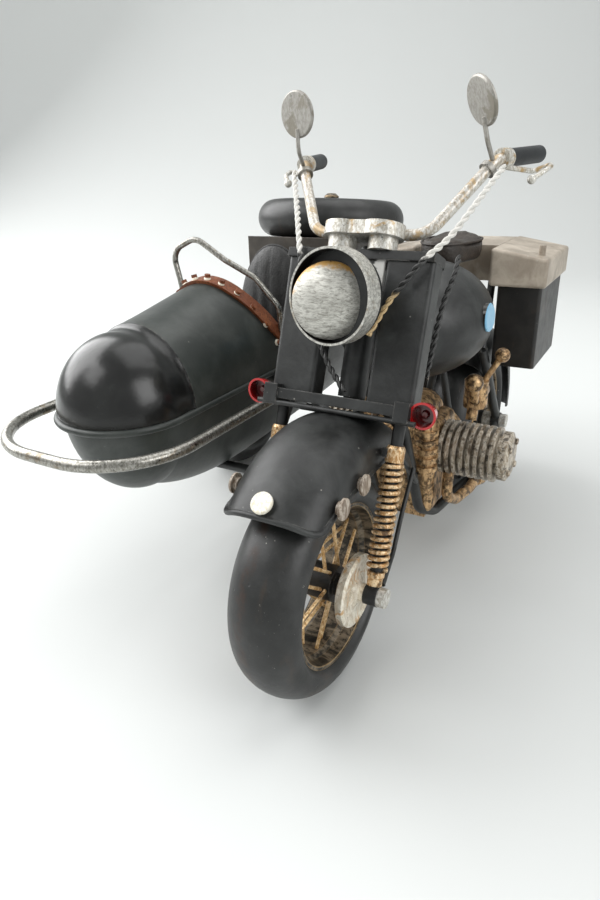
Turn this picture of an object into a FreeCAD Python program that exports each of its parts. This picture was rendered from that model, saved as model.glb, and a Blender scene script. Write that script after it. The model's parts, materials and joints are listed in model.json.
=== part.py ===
"""Tin model motorcycle with a sidecar and a spare wheel, as separate pieces.

Working axes while modelling: +X is the motorcycle's left, -Y is forward, +Z is up, and the
front axle stands over the working origin. At the end every piece is shifted together, so that
the stored origin is the centre of the whole model's footprint, at ground level.
"""
import FreeCAD, Part
import math
import os

V = FreeCAD.Vector
X, Y, Z = V(1, 0, 0), V(0, 1, 0), V(0, 0, 1)

# Wheels
WHEEL_R = 42.0            # outer radius of all four tyres, and the height of every axle
TYRE_HALF = 13.0          # half the width of a road tyre
SPARE_HALF = 10.0         # half the width of the spare tyre
TYRE_MID = 32.5           # radius at which the tyre is widest
TYRE_FOOT = 5.0           # how far the sidewall would curl in below its widest radius
RIM_R = 29.7              # radius of the tyre's seat
RIM_BORE = 26.2           # inner radius of the rim
HUB_R = 6.4               # hub drum
HUB_HALF = 9.0            # half the width of the hub drum
BOSS_HALF = 11.0          # half the width over the hub's bosses
AXLE_R = 2.0
RUNNING = 0.05            # radial clearance of everything that turns
SIDE_PLAY = 0.3           # gap beside everything that turns
SPOKES_PER_SIDE = 12
SPOKE_R = 0.65
SPOKE_SWEEP = 38.0        # degrees that a spoke travels round between hub and rim

# Layout
WHEELBASE = 178.0
SIDECAR_X = -90.0         # centreline of the sidecar body
SIDECAR_WHEEL = V(-137.5, 150, WHEEL_R)
FRONT_WHEEL = V(0, 0, WHEEL_R)
REAR_WHEEL = V(0, WHEELBASE, WHEEL_R)

# Fork, in its own raked frame: across, back, up along the legs from the axle
RAKE = 20.5               # degrees
LEG_X = 22.4              # half the distance between the fork legs
LEG_R = 2.1
STEM_BACK = 8.0           # the steering axis lies this far behind the legs
STEM_R = 3.0
LOWER_YOKE = (61.5, 64.5)
UPPER_YOKE = (111.0, 114.0)
COVER_X = (10.0, 26.7)
COVER_BACK = (-3.5, 4.5)
SHEET = 0.9               # thickness of the tin sheet
STEER_LIMIT = 28.0        # degrees each way

# Sidecar body: upper shell over the seam, lower hull under it
SEAM_Z = 90.0
BODY_HALF = 27.5
NOSE_Y = 10.0             # where the rounded nose begins
NOSE_LENGTH = 27.0
HULL_NOSE = 28.6
BEAD_R = 1.4
CAP_Y = 19.0              # joint between the nose and the cowl
COWL_END = 139.6
COCKPIT_SILL_Z = 103.0
TAIL_Y = 225.0

# Engine
CYLINDER = V(0, 92, 60)
CYLINDER_R = 12.0
BACKBONE_Z = 93.0


def rod(start, end, radius):
    """Round bar between two points."""
    run = end - start
    return Part.makeCylinder(radius, run.Length, start, run)


def block(x, y, z):
    """Box from three (low, high) pairs."""
    return Part.makeBox(x[1] - x[0], y[1] - y[0], z[1] - z[0], V(x[0], y[0], z[0]))


def rounded_path(points, bend):
    """Wire of straight runs joined by tangent arcs, each as large as its runs allow up to bend."""
    edges = []
    here = points[0]
    for before, corner, after in zip(points, points[1:], points[2:]):
        back = before - corner
        ahead = after - corner
        shorter = min(back.Length, ahead.Length)
        half = back.getAngle(ahead) / 2
        back.normalize()
        ahead.normalize()
        radius = min(bend, 0.495 * shorter * math.tan(half))
        reach = radius / math.tan(half)
        towards = back + ahead
        towards.normalize()
        start = corner + back * reach
        end = corner + ahead * reach
        middle = corner + towards * (radius / math.sin(half) - radius)
        edges.append(Part.LineSegment(here, start).toShape())
        edges.append(Part.Arc(start, middle, end).toShape())
        here = end
    edges.append(Part.LineSegment(here, points[-1]).toShape())
    return Part.Wire(edges)


def bent_rod(points, radius, bend):
    """Round bar along a rounded path."""
    section = Part.Wire(Part.makeCircle(radius, points[0], points[1] - points[0]))
    return rounded_path(points, bend).makePipeShell([section], True, False)


def lathe(profile, origin, axis=X):
    """Solid of revolution: the profile is a list of (distance along the axis, radius) pairs."""
    corners = [V(along, radius, 0) for along, radius in profile]
    solid = Part.Face(Part.makePolygon(corners + corners[:1])).revolve(V(), X, 360)
    solid.Placement = FreeCAD.Placement(origin, FreeCAD.Rotation(X, axis))
    return solid


def ellipsoid(centre, semi_axes):
    """Ball stretched to three half-lengths."""
    stretch = FreeCAD.Matrix()
    stretch.scale(semi_axes)
    ball = Part.makeSphere(1.0, V(), Y).transformGeometry(stretch)
    ball.translate(centre)
    return ball


def prism(outline, x):
    """Side-view outline of (y, z) points, made solid from x[0] to x[1]."""
    corners = [V(x[0], y, z) for y, z in outline]
    return Part.Face(Part.makePolygon(corners + corners[:1])).extrude(V(x[1] - x[0], 0, 0))


def fused(shapes, tidy=True):
    """One solid from touching or overlapping shapes, with split faces joined again if tidy."""
    joined = shapes[0]
    for shape in shapes[1:]:
        joined = joined.fuse(shape)
    return joined.removeSplitter() if tidy else joined


def softened(shape, radius):
    """The same shape with every edge rounded."""
    return shape.makeFillet(radius, shape.Edges)


def group(shapes):
    """Separate solids that share one node."""
    solids = [solid for shape in shapes for solid in shape.Solids]
    return Part.makeCompound(solids)


def both_sides(make):
    """The same piece on the left (side 1) and on the right (side -1)."""
    return [make(1), make(-1)]


# ---------------------------------------------------------------- wheels

def tyre(centre, half_width, axis=X):
    """Balloon tyre with a domed tread and sidewalls that tuck in to the rim."""
    tuck = math.asin((TYRE_MID - RIM_R) / TYRE_FOOT)
    dome = Part.Ellipse(V(0, TYRE_MID, 0), half_width, WHEEL_R - TYRE_MID)
    foot = Part.Ellipse(V(0, TYRE_MID, 0), half_width, TYRE_FOOT)
    right = Part.ArcOfEllipse(foot, -tuck, 0)
    crown = Part.ArcOfEllipse(dome, 0, math.pi)
    left = Part.ArcOfEllipse(foot, math.pi, math.pi + tuck)
    seat = Part.LineSegment(left.EndPoint, right.StartPoint)
    outline = Part.Wire([edge.toShape() for edge in (right, crown, left, seat)])
    solid = Part.Face(outline).revolve(V(), X, 360)
    solid.Placement = FreeCAD.Placement(centre, FreeCAD.Rotation(X, axis))
    return solid


def rim_half(half_width):
    """Half the width of the rim that a tyre of this half width sits on."""
    return half_width * math.cos(math.asin((TYRE_MID - RIM_R) / TYRE_FOOT))


def rim(centre, half_width, axis=X):
    """Rim with side flanges and a drop centre."""
    edge = rim_half(half_width)
    ledge = edge - 4
    well = edge - 6
    right = [(edge, RIM_R), (edge, RIM_R - 1.4), (ledge, RIM_R - 2.2), (well, RIM_BORE)]
    left = [(-along, radius) for along, radius in reversed(right)]
    return lathe(left + right, centre, axis)


def hub(centre):
    """Hub drum with a boss at each side and a bore that runs on the axle."""
    bore = AXLE_R + RUNNING
    boss = 4.0
    right = [(HUB_HALF, HUB_R), (HUB_HALF, boss), (BOSS_HALF, boss), (BOSS_HALF, bore)]
    left = [(-along, radius) for along, radius in reversed(right)]
    return lathe(left + right, centre)


def spokes(centre):
    """Crossed wire spokes: on each side, alternate spokes lean opposite ways in two rows."""
    wires = []
    for side in (1, -1):
        for number in range(SPOKES_PER_SIDE):
            lean = 1 if number % 2 else -1
            row = 0.9 * lean
            start = 360.0 * (number + 0.25 * side) / SPOKES_PER_SIDE
            inner = wheel_point(side * (7.0 + row), HUB_R - 2, start)
            outer = wheel_point(side * (2.6 + row), RIM_BORE + 1, start + lean * SPOKE_SWEEP)
            wires.append(rod(inner, outer, SPOKE_R))
    room = lathe([(-BOSS_HALF, HUB_R), (BOSS_HALF, HUB_R), (BOSS_HALF, RIM_BORE),
                  (-BOSS_HALF, RIM_BORE)], V())
    trimmed = group(wire.common(room) for wire in wires)
    trimmed.translate(centre)
    return trimmed


def wheel_point(along, radius, degrees):
    """Point in a wheel's own frame, at an angle round its axle."""
    angle = math.radians(degrees)
    return V(along, radius * math.cos(angle), radius * math.sin(angle))


def add_wheel(name, centre):
    """The four pieces of a running wheel."""
    nodes[name + "_tyre"] = tyre(centre, TYRE_HALF)
    nodes[name + "_rim"] = rim(centre, TYRE_HALF)
    nodes[name + "_spokes"] = spokes(centre)
    nodes[name + "_hub"] = hub(centre)


# ---------------------------------------------------------------- fork and steering

FORK = FreeCAD.Placement(FRONT_WHEEL, FreeCAD.Rotation(X, -RAKE))
STEER_AXIS = FORK.Rotation.multVec(Z)
STEER_POINT = FORK.multVec(V(0, STEM_BACK, 90))


def raked(shape):
    """Move a shape from the fork's own frame to the model."""
    shape.Placement = FORK.multiply(shape.Placement)
    return shape


def fork_cover(side):
    """Folded tin cover in front of and around one fork leg, open at the back."""
    low, high = COVER_X
    body = block((low, high), COVER_BACK, (LOWER_YOKE[1], UPPER_YOKE[0]))
    fold = [edge for edge in body.Edges
            if abs(edge.tangentAt(edge.FirstParameter).z) > 0.9 and edge.BoundBox.YMax < 0]
    body = body.makeFillet(1.6, fold)
    hollow = block((low + SHEET, high - SHEET), (COVER_BACK[0] + SHEET, COVER_BACK[1] + 1),
                   (LOWER_YOKE[1] - 1, UPPER_YOKE[0] + 1))
    cover = body.cut(hollow)
    if side < 0:
        cover = cover.mirror(V(), X)
    return raked(cover)


def fork_leg(side):
    """Fork leg from the axle lug up to the upper yoke."""
    x = side * LEG_X
    leg = rod(V(x, 0, 0), V(x, 0, UPPER_YOKE[1] + 1), LEG_R)
    lug = rod(V(x - 2.4, 0, 0), V(x + 2.4, 0, 0), 3.6)
    bore = rod(V(x - 4, 0, 0), V(x + 4, 0, 0), AXLE_R)
    return raked(fused([leg, lug]).cut(bore))


SPRING_Z = (8.5, 46.0)    # from the lower sleeve to the upper collar
SPRING_WIRE = 0.75
SPRING_MEAN = 3.05
SPRING_TURNS = 16


def fork_spring(side):
    """Coil spring round one fork leg."""
    height = SPRING_Z[1] - SPRING_Z[0] - 2 * SPRING_WIRE
    coil = Part.Wire(Part.makeHelix(height / SPRING_TURNS, height, SPRING_MEAN))
    section = Part.Wire(Part.makeCircle(SPRING_WIRE, V(SPRING_MEAN, 0, 0), Y))
    spring = coil.makePipeShell([section], True, True)
    spring.translate(V(side * LEG_X, 0, SPRING_Z[0] + SPRING_WIRE))
    return raked(spring)


def spring_collars(side):
    """Cap above and sleeve below one spring."""
    x = side * LEG_X
    cap = lathe([(0, LEG_R), (5.6, LEG_R), (5.6, 2.7), (4.6, 3.2), (0, 3.2)], V(x, 0, SPRING_Z[1]), Z)
    sleeve = lathe([(0, LEG_R), (4.9, LEG_R), (4.9, 3.0), (3.2, 3.0), (2.6, 2.6), (0, 2.6)],
                   V(x, 0, 3.6), Z)
    lug = rod(V(x - 3, 0, 0), V(x + 3, 0, 0), 3.6)
    return group([raked(cap), raked(sleeve.cut(lug))])


def lower_yoke():
    """Plate under the covers, cross bar in front of them with end clamps, and the lamp rod."""
    low, high = LOWER_YOKE
    plate = block((-26.7, 26.7), (-3.5, 12.2), (low, high))
    corners = [edge for edge in plate.Edges
               if abs(edge.tangentAt(edge.FirstParameter).z) > 0.9 and edge.BoundBox.YMin > 0]
    plate = plate.makeFillet(8, corners)
    bar = block((-24, 24), (-6.6, -3.5), (low - 0.3, high + 0.4))
    ends = [block((side * 24.6 - 2.6, side * 24.6 + 2.6), (-7.4, -3.5), (low - 2.0, high + 1.7))
            for side in (1, -1)]
    lamp_rod = rod(V(-29.6, -6.3, low - 1.8), V(29.6, -6.3, low - 1.8), 0.9)
    yoke = fused([plate, bar, lamp_rod] + ends)
    for side in (1, -1):
        yoke = yoke.cut(rod(V(side * LEG_X, 0, low - 1), V(side * LEG_X, 0, high + 1), LEG_R))
    return raked(yoke.cut(rod(V(0, STEM_BACK, low - 1), V(0, STEM_BACK, high + 1), STEM_R)))


def upper_yoke():
    """Plate over the covers, with a flange between them that carries the headlight."""
    low, high = UPPER_YOKE
    plate = block((-26.7, 26.7), (-4.5, 13), (low, high))
    corners = [edge for edge in plate.Edges
               if abs(edge.tangentAt(edge.FirstParameter).z) > 0.9 and edge.BoundBox.YMin > 0]
    plate = plate.makeFillet(8, corners)
    flange = block((-9.6, 9.6), (-3.5, -2.0), (low - 22, low + 0.5))
    yoke = fused([plate, flange])
    for side in (1, -1):
        yoke = yoke.cut(rod(V(side * LEG_X, 0, low - 1), V(side * LEG_X, 0, high + 2), LEG_R))
    return raked(yoke.cut(rod(V(0, STEM_BACK, low - 1), V(0, STEM_BACK, high + 2), STEM_R)))


def steering_stem():
    """Stem through the head tube, held by both yokes, with a nut on top."""
    stem = rod(V(0, STEM_BACK, LOWER_YOKE[0]), V(0, STEM_BACK, UPPER_YOKE[1] + 1), STEM_R)
    nut = rod(V(0, STEM_BACK, UPPER_YOKE[1]), V(0, STEM_BACK, UPPER_YOKE[1] + 3), 4.4)
    return raked(fused([stem, nut]))


# Handlebar route of the left half, from the middle to the tip of the grip
BAR_R = 1.9
BAR_ROUTE = [V(20.5, 44.0, 154.2), V(36.0, 64.0, 176.0), V(43.0, 90.0, 177.0)]
GRIP_R = 2.9
GRIP_LENGTH = 22.0
CLUSTER_BACK = -2.0       # the gauge cluster's centre, measured back from the legs


def mirrored(point, side):
    """The same point on the left (1) or the right (-1)."""
    return V(side * point.x, point.y, point.z)


def handlebar():
    """One bent tube from grip to grip."""
    left = [mirrored(point, 1) for point in BAR_ROUTE]
    right = [mirrored(point, -1) for point in reversed(BAR_ROUTE)]
    return bent_rod(right + left, BAR_R, 9.0)


def grip(side):
    """Rubber grip over the end of the handlebar."""
    tip = mirrored(BAR_ROUTE[2], side)
    inward = mirrored(BAR_ROUTE[1], side) - tip
    inward.normalize()
    sleeve = rod(tip - inward * 1.2, tip + inward * (GRIP_LENGTH - 1.2), GRIP_R)
    return sleeve.cut(rod(tip, tip + inward * GRIP_LENGTH, BAR_R))


def control_lever(side):
    """Clamp ring inboard of the grip, with a wire lever that hooks round outside the grip."""
    tip = mirrored(BAR_ROUTE[2], side)
    along = tip - mirrored(BAR_ROUTE[1], side)
    along.normalize()
    clamp_end = tip - along * (GRIP_LENGTH - 1.2)
    clamp = rod(clamp_end - along * 3.6, clamp_end, 3.3).cut(rod(clamp_end - along * 5, tip, BAR_R))
    route = [V(38.0, 66.5, 173.6), V(44.8, 78.5, 171.8), V(50.8, 80.5, 174.2), V(50.0, 74.0, 172.4),
             V(46.4, 69.5, 169.6)]
    wire = bent_rod([mirrored(point, side) for point in route], 0.85, 3.0)
    ball = Part.makeSphere(1.5, mirrored(route[-1], side))
    return fused([clamp, wire.cut(rod(clamp_end - along * 5, tip, GRIP_R)), ball])


MIRROR_R = 7.6


def mirror(side, heading, tilt):
    """Round mirror on a wire stem; heading and tilt turn its face, in degrees."""
    centre = V(side * 32.5, 54.0, 192.5)
    flat = math.cos(math.radians(tilt))
    facing = V(flat * math.sin(math.radians(heading)), flat * math.cos(math.radians(heading)),
               math.sin(math.radians(tilt)))
    plate = lathe([(-0.6, 0), (-0.6, 7.1), (-0.1, MIRROR_R), (0.5, MIRROR_R), (0.7, 7.0), (0.7, 0)],
                  centre, facing)
    upward = Z - facing * facing.dot(Z)
    upward.normalize()
    holder = centre - upward * 4.5 - facing * 0.5
    elbow = centre - upward * 11.5 - facing * 1.0
    foot = mirrored(V(35.2, 63.0, 174.8), side)
    stem = bent_rod([foot, elbow, holder], 0.75, 4.0)
    clip_axis = mirrored(BAR_ROUTE[1] - BAR_ROUTE[0], side)
    clip_axis.normalize()
    bar = rod(mirrored(BAR_ROUTE[0], side), mirrored(BAR_ROUTE[1], side), BAR_R)
    clip_at = mirrored(BAR_ROUTE[1], side) - clip_axis * 5.2
    clip = rod(clip_at, clip_at + clip_axis * 1.8, 2.9)
    post = rod(clip_at + clip_axis * 0.9, foot, 0.75)
    return fused([plate, stem, clip, post]).cut(bar)


def gauge_cluster():
    """Two-lobed clamp plate on two short cups, over the handlebar."""
    base = UPPER_YOKE[1]
    cups = [rod(V(side * 7.4, CLUSTER_BACK, base), V(side * 7.4, CLUSTER_BACK, base + 4.6), 4.9)
            for side in (1, -1)]
    lobes = [rod(V(side * 6.6, CLUSTER_BACK, base + 4.2), V(side * 6.6, CLUSTER_BACK, base + 8.6), 7.4)
             for side in (1, -1)]
    waist = block((-6.6, 6.6), (CLUSTER_BACK - 6.4, CLUSTER_BACK + 6.4), (base + 4.2, base + 8.6))
    return raked(fused(cups + lobes + [waist]))


# Headlight: centre of the rim's front edge, and the direction in which the lamp looks
LAMP_CENTRE = V(0, 13.3, 138.7)
LAMP_AXIS = V(-math.sin(math.radians(7)), -math.cos(math.radians(7)), math.sin(math.radians(8)))
LAMP_AXIS.normalize()
LAMP_R = 15.2
LENS_R = 12.2
LENS_AXIS = V(math.sin(math.radians(13)), -math.cos(math.radians(13)), math.sin(math.radians(9)))
LENS_AXIS.normalize()
LAMP_BAND = 6.5


def headlight_rim():
    """Plain metal band round the mouth of the headlight."""
    inner = LAMP_R - SHEET
    return lathe([(0, inner), (0, LAMP_R), (-LAMP_BAND, LAMP_R), (-LAMP_BAND, inner)],
                 LAMP_CENTRE, LAMP_AXIS)


def headlight_shell():
    """Bowl behind the band, with the reflector plate that carries the lens."""
    outside = [(-LAMP_BAND - 2.2, LAMP_R - 0.6), (-12, 12.6), (-15.5, 8.6), (-17.4, 4.0), (-17.4, 0)]
    inside = [(-16.4, 0), (-15.4, 5), (-11.4, 11.2), (-LAMP_BAND + 0.6, LAMP_R - 2.2)]
    mouth = [(-LAMP_BAND + 0.6, LAMP_R - SHEET), (-LAMP_BAND, LAMP_R - SHEET)]
    bowl = lathe(outside + inside + mouth + [(-LAMP_BAND, LAMP_R - 0.3)], LAMP_CENTRE, LAMP_AXIS)
    plate = lathe([(-5.9, 0), (-4.9, 0), (-4.9, LAMP_R - SHEET), (-5.9, LAMP_R - SHEET)],
                  LAMP_CENTRE, LAMP_AXIS)
    hole = rod(LAMP_CENTRE - LAMP_AXIS * 11, LAMP_CENTRE - LAMP_AXIS * 11 - Z * 20, 1.6)
    return fused([bowl, plate]).cut(hole)


def headlight_lens():
    """Domed lens, glued in low and turned a little towards the left."""
    rise = 4.6
    ball_r = (LENS_R ** 2 + rise ** 2) / (2 * rise)
    edge = LAMP_CENTRE - LAMP_AXIS * 2.6 - X * 1.4 - Z * 1.4
    ball = Part.makeSphere(ball_r, edge + LENS_AXIS * (rise - ball_r))
    dome = ball.common(rod(edge, edge + LENS_AXIS * rise * 2, LENS_R))
    drum = rod(edge - LENS_AXIS * 8, edge, LENS_R)
    room = rod(LAMP_CENTRE - LAMP_AXIS * 4.9, LAMP_CENTRE + LAMP_AXIS * 12, LAMP_R - SHEET - 0.3)
    return fused([dome, drum]).common(room)


def headlight_post():
    """Stub that joins the bowl's back to the yoke's flange."""
    back = LAMP_CENTRE - LAMP_AXIS * 17.4
    return rod(back, back - LAMP_AXIS * 9, 3.2)


def marker_lamp(side):
    """Red cup lamp on the end of the lamp rod, open to the front, with a button lens."""
    centre = V(side * 31.0, 17.4, 102.4)
    cup = [(0, 4.5), (0, 3.7), (-3.6, 3.1), (-3.6, 1.4), (-2.4, 0.9), (-2.4, 0), (-5.8, 0), (-5.8, 2.2),
           (-4.4, 3.6)]
    return lathe(cup, centre, V(0, -1, 0.12))


# Front fender: crown arc about this centre, side skirts cut to a level edge
FENDER_CENTRE = V(0, 8, 44)
FENDER_R = 55.5
FENDER_PROFILE = [(0, 0), (5.5, -0.4), (10.3, -1.9), (14.2, -4.5), (16.7, -7.8), (17.5, -11), (17.6, -17.5)]
FENDER_FRONT = 135.5      # degrees round from the back
FENDER_BACK = 24.0
SKIRT_EDGE = [(-23.0, 78.6), (-16.0, 81.2), (2.0, 83.0), (30.0, 84.0), (53.0, 60.0)]


def fender_sheet(centre, crown, profile, start, end):
    """Domed mudguard: the half profile is (across, drop from the crown), turned about the axle."""
    outer = [V(x, crown + drop, 0) for x, drop in profile]
    inner = [V(x - SHEET * x / profile[-1][0], crown + drop - SHEET * (1 - x / profile[-1][0]), 0)
             for x, drop in profile]
    wires = []
    for side in (1, -1):
        top = Part.BSplineCurve()
        top.interpolate([mirrored(point, side) for point in outer])
        under = Part.BSplineCurve()
        under.interpolate([mirrored(point, side) for point in inner])
        edges = [top.toShape(), under.toShape(), Part.LineSegment(outer[0], inner[0]).toShape(),
                 Part.LineSegment(mirrored(outer[-1], side), mirrored(inner[-1], side)).toShape()]
        wires.append(Part.Wire(Part.sortEdges(edges)[0]))
    halves = [Part.Face(wire).revolve(V(), X, end - start) for wire in wires]
    sheet = fused(halves)
    sheet.Placement = FreeCAD.Placement(centre, FreeCAD.Rotation(X, start))
    return sheet


def front_fender():
    """Front mudguard with a rolled bead along its skirts and lips."""
    sheet = fender_sheet(FENDER_CENTRE, FENDER_R, FENDER_PROFILE, FENDER_BACK, FENDER_FRONT)
    below = prism(SKIRT_EDGE + [(70.0, 40.0), (70.0, 10.0), (-60.0, 10.0), (-60.0, 78.6)], (-30, 30))
    sheet = sheet.cut(below)
    beads = []
    for side in (1, -1):
        route = [V(side * 17.25, y, z) for y, z in SKIRT_EDGE]
        beads.append(bent_rod(route, 1.0, 6.0))
    for angle in (FENDER_FRONT, FENDER_BACK):
        beads.append(lip_bead(angle))
    return fused([sheet] + beads, tidy=False)


def lip_bead(degrees):
    """Rolled edge across the fender at an angle round its centre, curved back to the skirts in front."""
    angle = math.radians(degrees)
    outward = V(0, math.cos(angle), math.sin(angle))
    reach = [V(x, 0, 0) + outward * (FENDER_R + drop - SHEET / 2) for x, drop in FENDER_PROFILE[:-3]]
    if degrees == FENDER_FRONT:
        corner = [V(16.1, -26.2, 78.5), V(17.25, -22.4, 79.0)]
        half = reach + [point - FENDER_CENTRE for point in corner]
    else:
        half = reach + [V(17.25, 0, 0) + outward * (FENDER_R - 10.4)]
    points = [V(-point.x, point.y, point.z) for point in reversed(half[1:])] + half
    curve = Part.BSplineCurve()
    curve.interpolate([FENDER_CENTRE + point for point in points])
    path = Part.Wire(curve.toShape())
    section = Part.Wire(Part.makeCircle(1.0, curve.StartPoint, curve.tangent(curve.FirstParameter)[0]))
    return path.makePipeShell([section], True, False)


def fender_studs():
    """Round cream discs on dark bases: one over the front lip and two on each skirt."""
    studs = []
    lip = math.radians(FENDER_FRONT - 4)
    outward = V(0, math.cos(lip), math.sin(lip))
    places = [(FENDER_CENTRE + outward * (FENDER_R - 0.2), outward)]
    for side in (1, -1):
        places.append((V(side * 17.6, -15.8, 82.6), V(side, 0, 0)))
        places.append((V(side * 17.6, -0.8, 83.8), V(side, 0, 0)))
    for point, facing in places:
        studs.append(lathe([(0.2, 0), (0.2, 2.2), (1.6, 2.2), (1.6, 3.5), (2.4, 3.5), (2.7, 3.1), (2.7, 0)],
                           point, facing))
    return group(studs)


def fender_stay(side):
    """Bracket from the leg to the skirt, and a wire stay from the axle lug to the fender's back."""
    x = side * LEG_X
    bracket = raked(block(sorted((side * 18.6, x)), (-2.6, 2.6), (47.4, 50.4)))
    leg = raked(rod(V(x, 0, 30), V(x, 0, 60), 3.2))
    wire = bent_rod([V(side * 24.6, 3.6, 44.6), V(side * 21.5, 20.0, 47.0), V(side * 19.6, 33.0, 57.0),
                     V(side * 19.2, 44.5, 70.0)], 0.85, 6.0)
    lug = rod(V(side * 19, 0, WHEEL_R), V(side * 24.2, 0, WHEEL_R), 3.6)
    return group([bracket.cut(leg), wire.cut(lug)])


def front_axle():
    """Axle with a spacer on the right and a nut at each end."""
    centre = FRONT_WHEEL
    face = LEG_X + 2.4
    shaft = rod(centre - X * 27, centre + X * 27, AXLE_R)
    spacer = rod(centre - X * (LEG_X - 2.4), centre - X * (BOSS_HALF + SIDE_PLAY), 3.2)
    nuts = [rod(centre + X * side * face, centre + X * side * 27.6, 3.4) for side in (1, -1)]
    return fused([shaft, spacer] + nuts)


def brake_plate():
    """Fixed brake drum plate between the hub and the left leg."""
    inner = BOSS_HALF + SIDE_PLAY
    outer = LEG_X - 2.4
    profile = [(inner, AXLE_R), (inner, 5), (13.6, 5), (13.6, 11.2), (14.6, 13.0), (16.8, 13.0),
               (17.5, 11.8), (16.9, 10), (16.9, 6), (18.2, 3.2), (outer, 3.2), (outer, AXLE_R)]
    return lathe(profile, FRONT_WHEEL)


# Cables, as chosen routes from the lever clamps to the yokes
LEFT_CABLE = [V(39.0, 62.0, 173.8), V(35.5, 48.0, 164.8), V(30.0, 38.6, 154.0), V(24.2, 31.2, 148.6),
              V(19.0, 29.4, 141.4), V(14.9, 28.0, 136.4), V(11.7, 27.2, 130.8), V(8.6, 25.0, 124.6)]
RIGHT_CABLE = [V(-39.0, 62.0, 173.8), V(-28.4, 45.0, 162.0), V(-20.4, 32.0, 150.0), V(-17.0, 27.6, 139.0),
               V(-12.2, 25.8, 127.5), V(-6.0, 22.0, 114.6), V(3.2, 18.2, 106.6)]
BACK_CABLE = [V(26.6, 60.0, 145.6), V(28.2, 53.6, 141.4), V(26.8, 48.4, 135.4), V(26.2, 43.4, 127.4),
              V(26.0, 39.8, 119.0), V(25.2, 36.0, 109.0)]
CABLE_R = 0.95


def cable(route):
    """Twisted control wire along its route, as a plain round bar."""
    return bent_rod(route, CABLE_R, 14.0)


# ---------------------------------------------------------------- motorcycle frame and engine

FRAME_R = 2.3


def frame():
    """Head tube, backbone, double cradle, rear stays, saddle post and rack posts, welded."""
    head = rod(V(0, STEM_BACK, LOWER_YOKE[1] + 0.5), V(0, STEM_BACK, UPPER_YOKE[0] - 0.5), 5.0)
    tubes = [raked(head)]
    tubes.append(bent_rod([V(0, 41, 112), V(0, 58, BACKBONE_Z), V(0, 136, BACKBONE_Z)], 3.0, 14.0))
    tubes.append(rod(V(0, 128, BACKBONE_Z), V(0, 131, 134.0), 2.5))
    tubes.append(rod(V(-18, 136, BACKBONE_Z), V(18, 136, BACKBONE_Z), FRAME_R))
    for side in (1, -1):
        cradle = [V(0, 37, 105), V(side * 10, 57, 79), V(side * 10, 79, 33), V(side * 13, 92, 26),
                  V(side * 18.2, 134, 26), V(side * 18.2, 176, 41)]
        tubes.append(bent_rod(cradle, FRAME_R, 12.0))
        tubes.append(rod(V(side * 18.2, 136, BACKBONE_Z), V(side * 18.2, 177, 44), FRAME_R))
        tubes.append(rod(V(side * 18.2, 136, BACKBONE_Z), V(side * 15.0, 156, 122.0), 1.8))
        tubes.append(rod(V(side * 16, WHEELBASE, WHEEL_R), V(side * 20.6, WHEELBASE, WHEEL_R), 4.2))
        tubes.append(rod(V(0, 128, BACKBONE_Z), V(side * 13, 128, 27.0), 1.8))
    welded = fused(tubes)
    stem = raked(rod(V(0, STEM_BACK, 0), V(0, STEM_BACK, 140), STEM_R + RUNNING))
    axle = rod(REAR_WHEEL - X * 30, REAR_WHEEL + X * 30, AXLE_R)
    return welded.cut(stem).cut(axle)


def fuel_tank():
    """Fat teardrop tank with a tunnel for the backbone."""
    body = ellipsoid(V(0, 91, 116), V(32, 37, 24))
    floor = block((-40, 40), (40, 140), (80, BACKBONE_Z + 1.5))
    tunnel = block((-4.2, 4.2), (40, 140), (80, BACKBONE_Z + 4.2))
    post = rod(V(0, 128, BACKBONE_Z), V(0, 131, 140), 3.2)
    return body.cut(floor).cut(tunnel).cut(post)


def tank_cap():
    """Filler cap on top of the tank."""
    return lathe([(-2.6, 4.4), (0.6, 4.4), (0.6, 6.2), (3.0, 6.2), (3.8, 5.2), (3.8, 0), (-2.6, 0)],
                 V(0, 78, 138.6), Z)


def tank_badge(side):
    """Plain round badge on the tank's cheek."""
    facing = V(side, -0.06, 0.08)
    return lathe([(0, 0), (0, 5.6), (2.1, 5.6), (2.5, 5.0), (2.5, 0)], V(side * 30.0, 88.5, 119.0), facing)


def crankcase():
    """Engine block with a gearbox behind, a top cover and two ribbed coils in front."""
    case = softened(block((-15, 15), (80, 112), (29.5, 72)), 4)
    gearbox = rod(V(0, 108, 50), V(0, 128, 50), 15)
    sump = block((-11, 11), (84, 118), (26, 32))
    cover = rod(V(0, 84, 70), V(0, 110, 70), 9)
    parts = [case, gearbox, sump, cover]
    for side in (1, -1):
        parts.append(rod(V(side * 15, 84, 60), V(side * 14, 73, 60), 2.6))
        core = V(side * 14.5, 71.5, 0)
        parts.append(rod(core + Z * 55, core + Z * 78.5, 3.6))
        for ring in range(5):
            height = 57 + 4 * ring
            parts.append(rod(core + Z * height, core + Z * (height + 2.2), 5.0))
    return fused(parts)


def engine_cylinder(side):
    """Finned boxer cylinder with its head cap."""
    start = 15.2
    profile = [(start, 0), (start, 8.5)]
    for fin in range(8):
        foot = start + 1.4 + fin * 3.1
        profile += [(foot, 8.5), (foot, CYLINDER_R), (foot + 1.6, CYLINDER_R), (foot + 1.6, 8.5)]
    head = start + 1.4 + 8 * 3.1
    profile += [(head, 8.5), (head, 10.6), (head + 3.0, 10.6), (head + 4.2, 8.0), (head + 4.2, 0)]
    return lathe(profile, CYLINDER, V(side, 0, 0))


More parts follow.
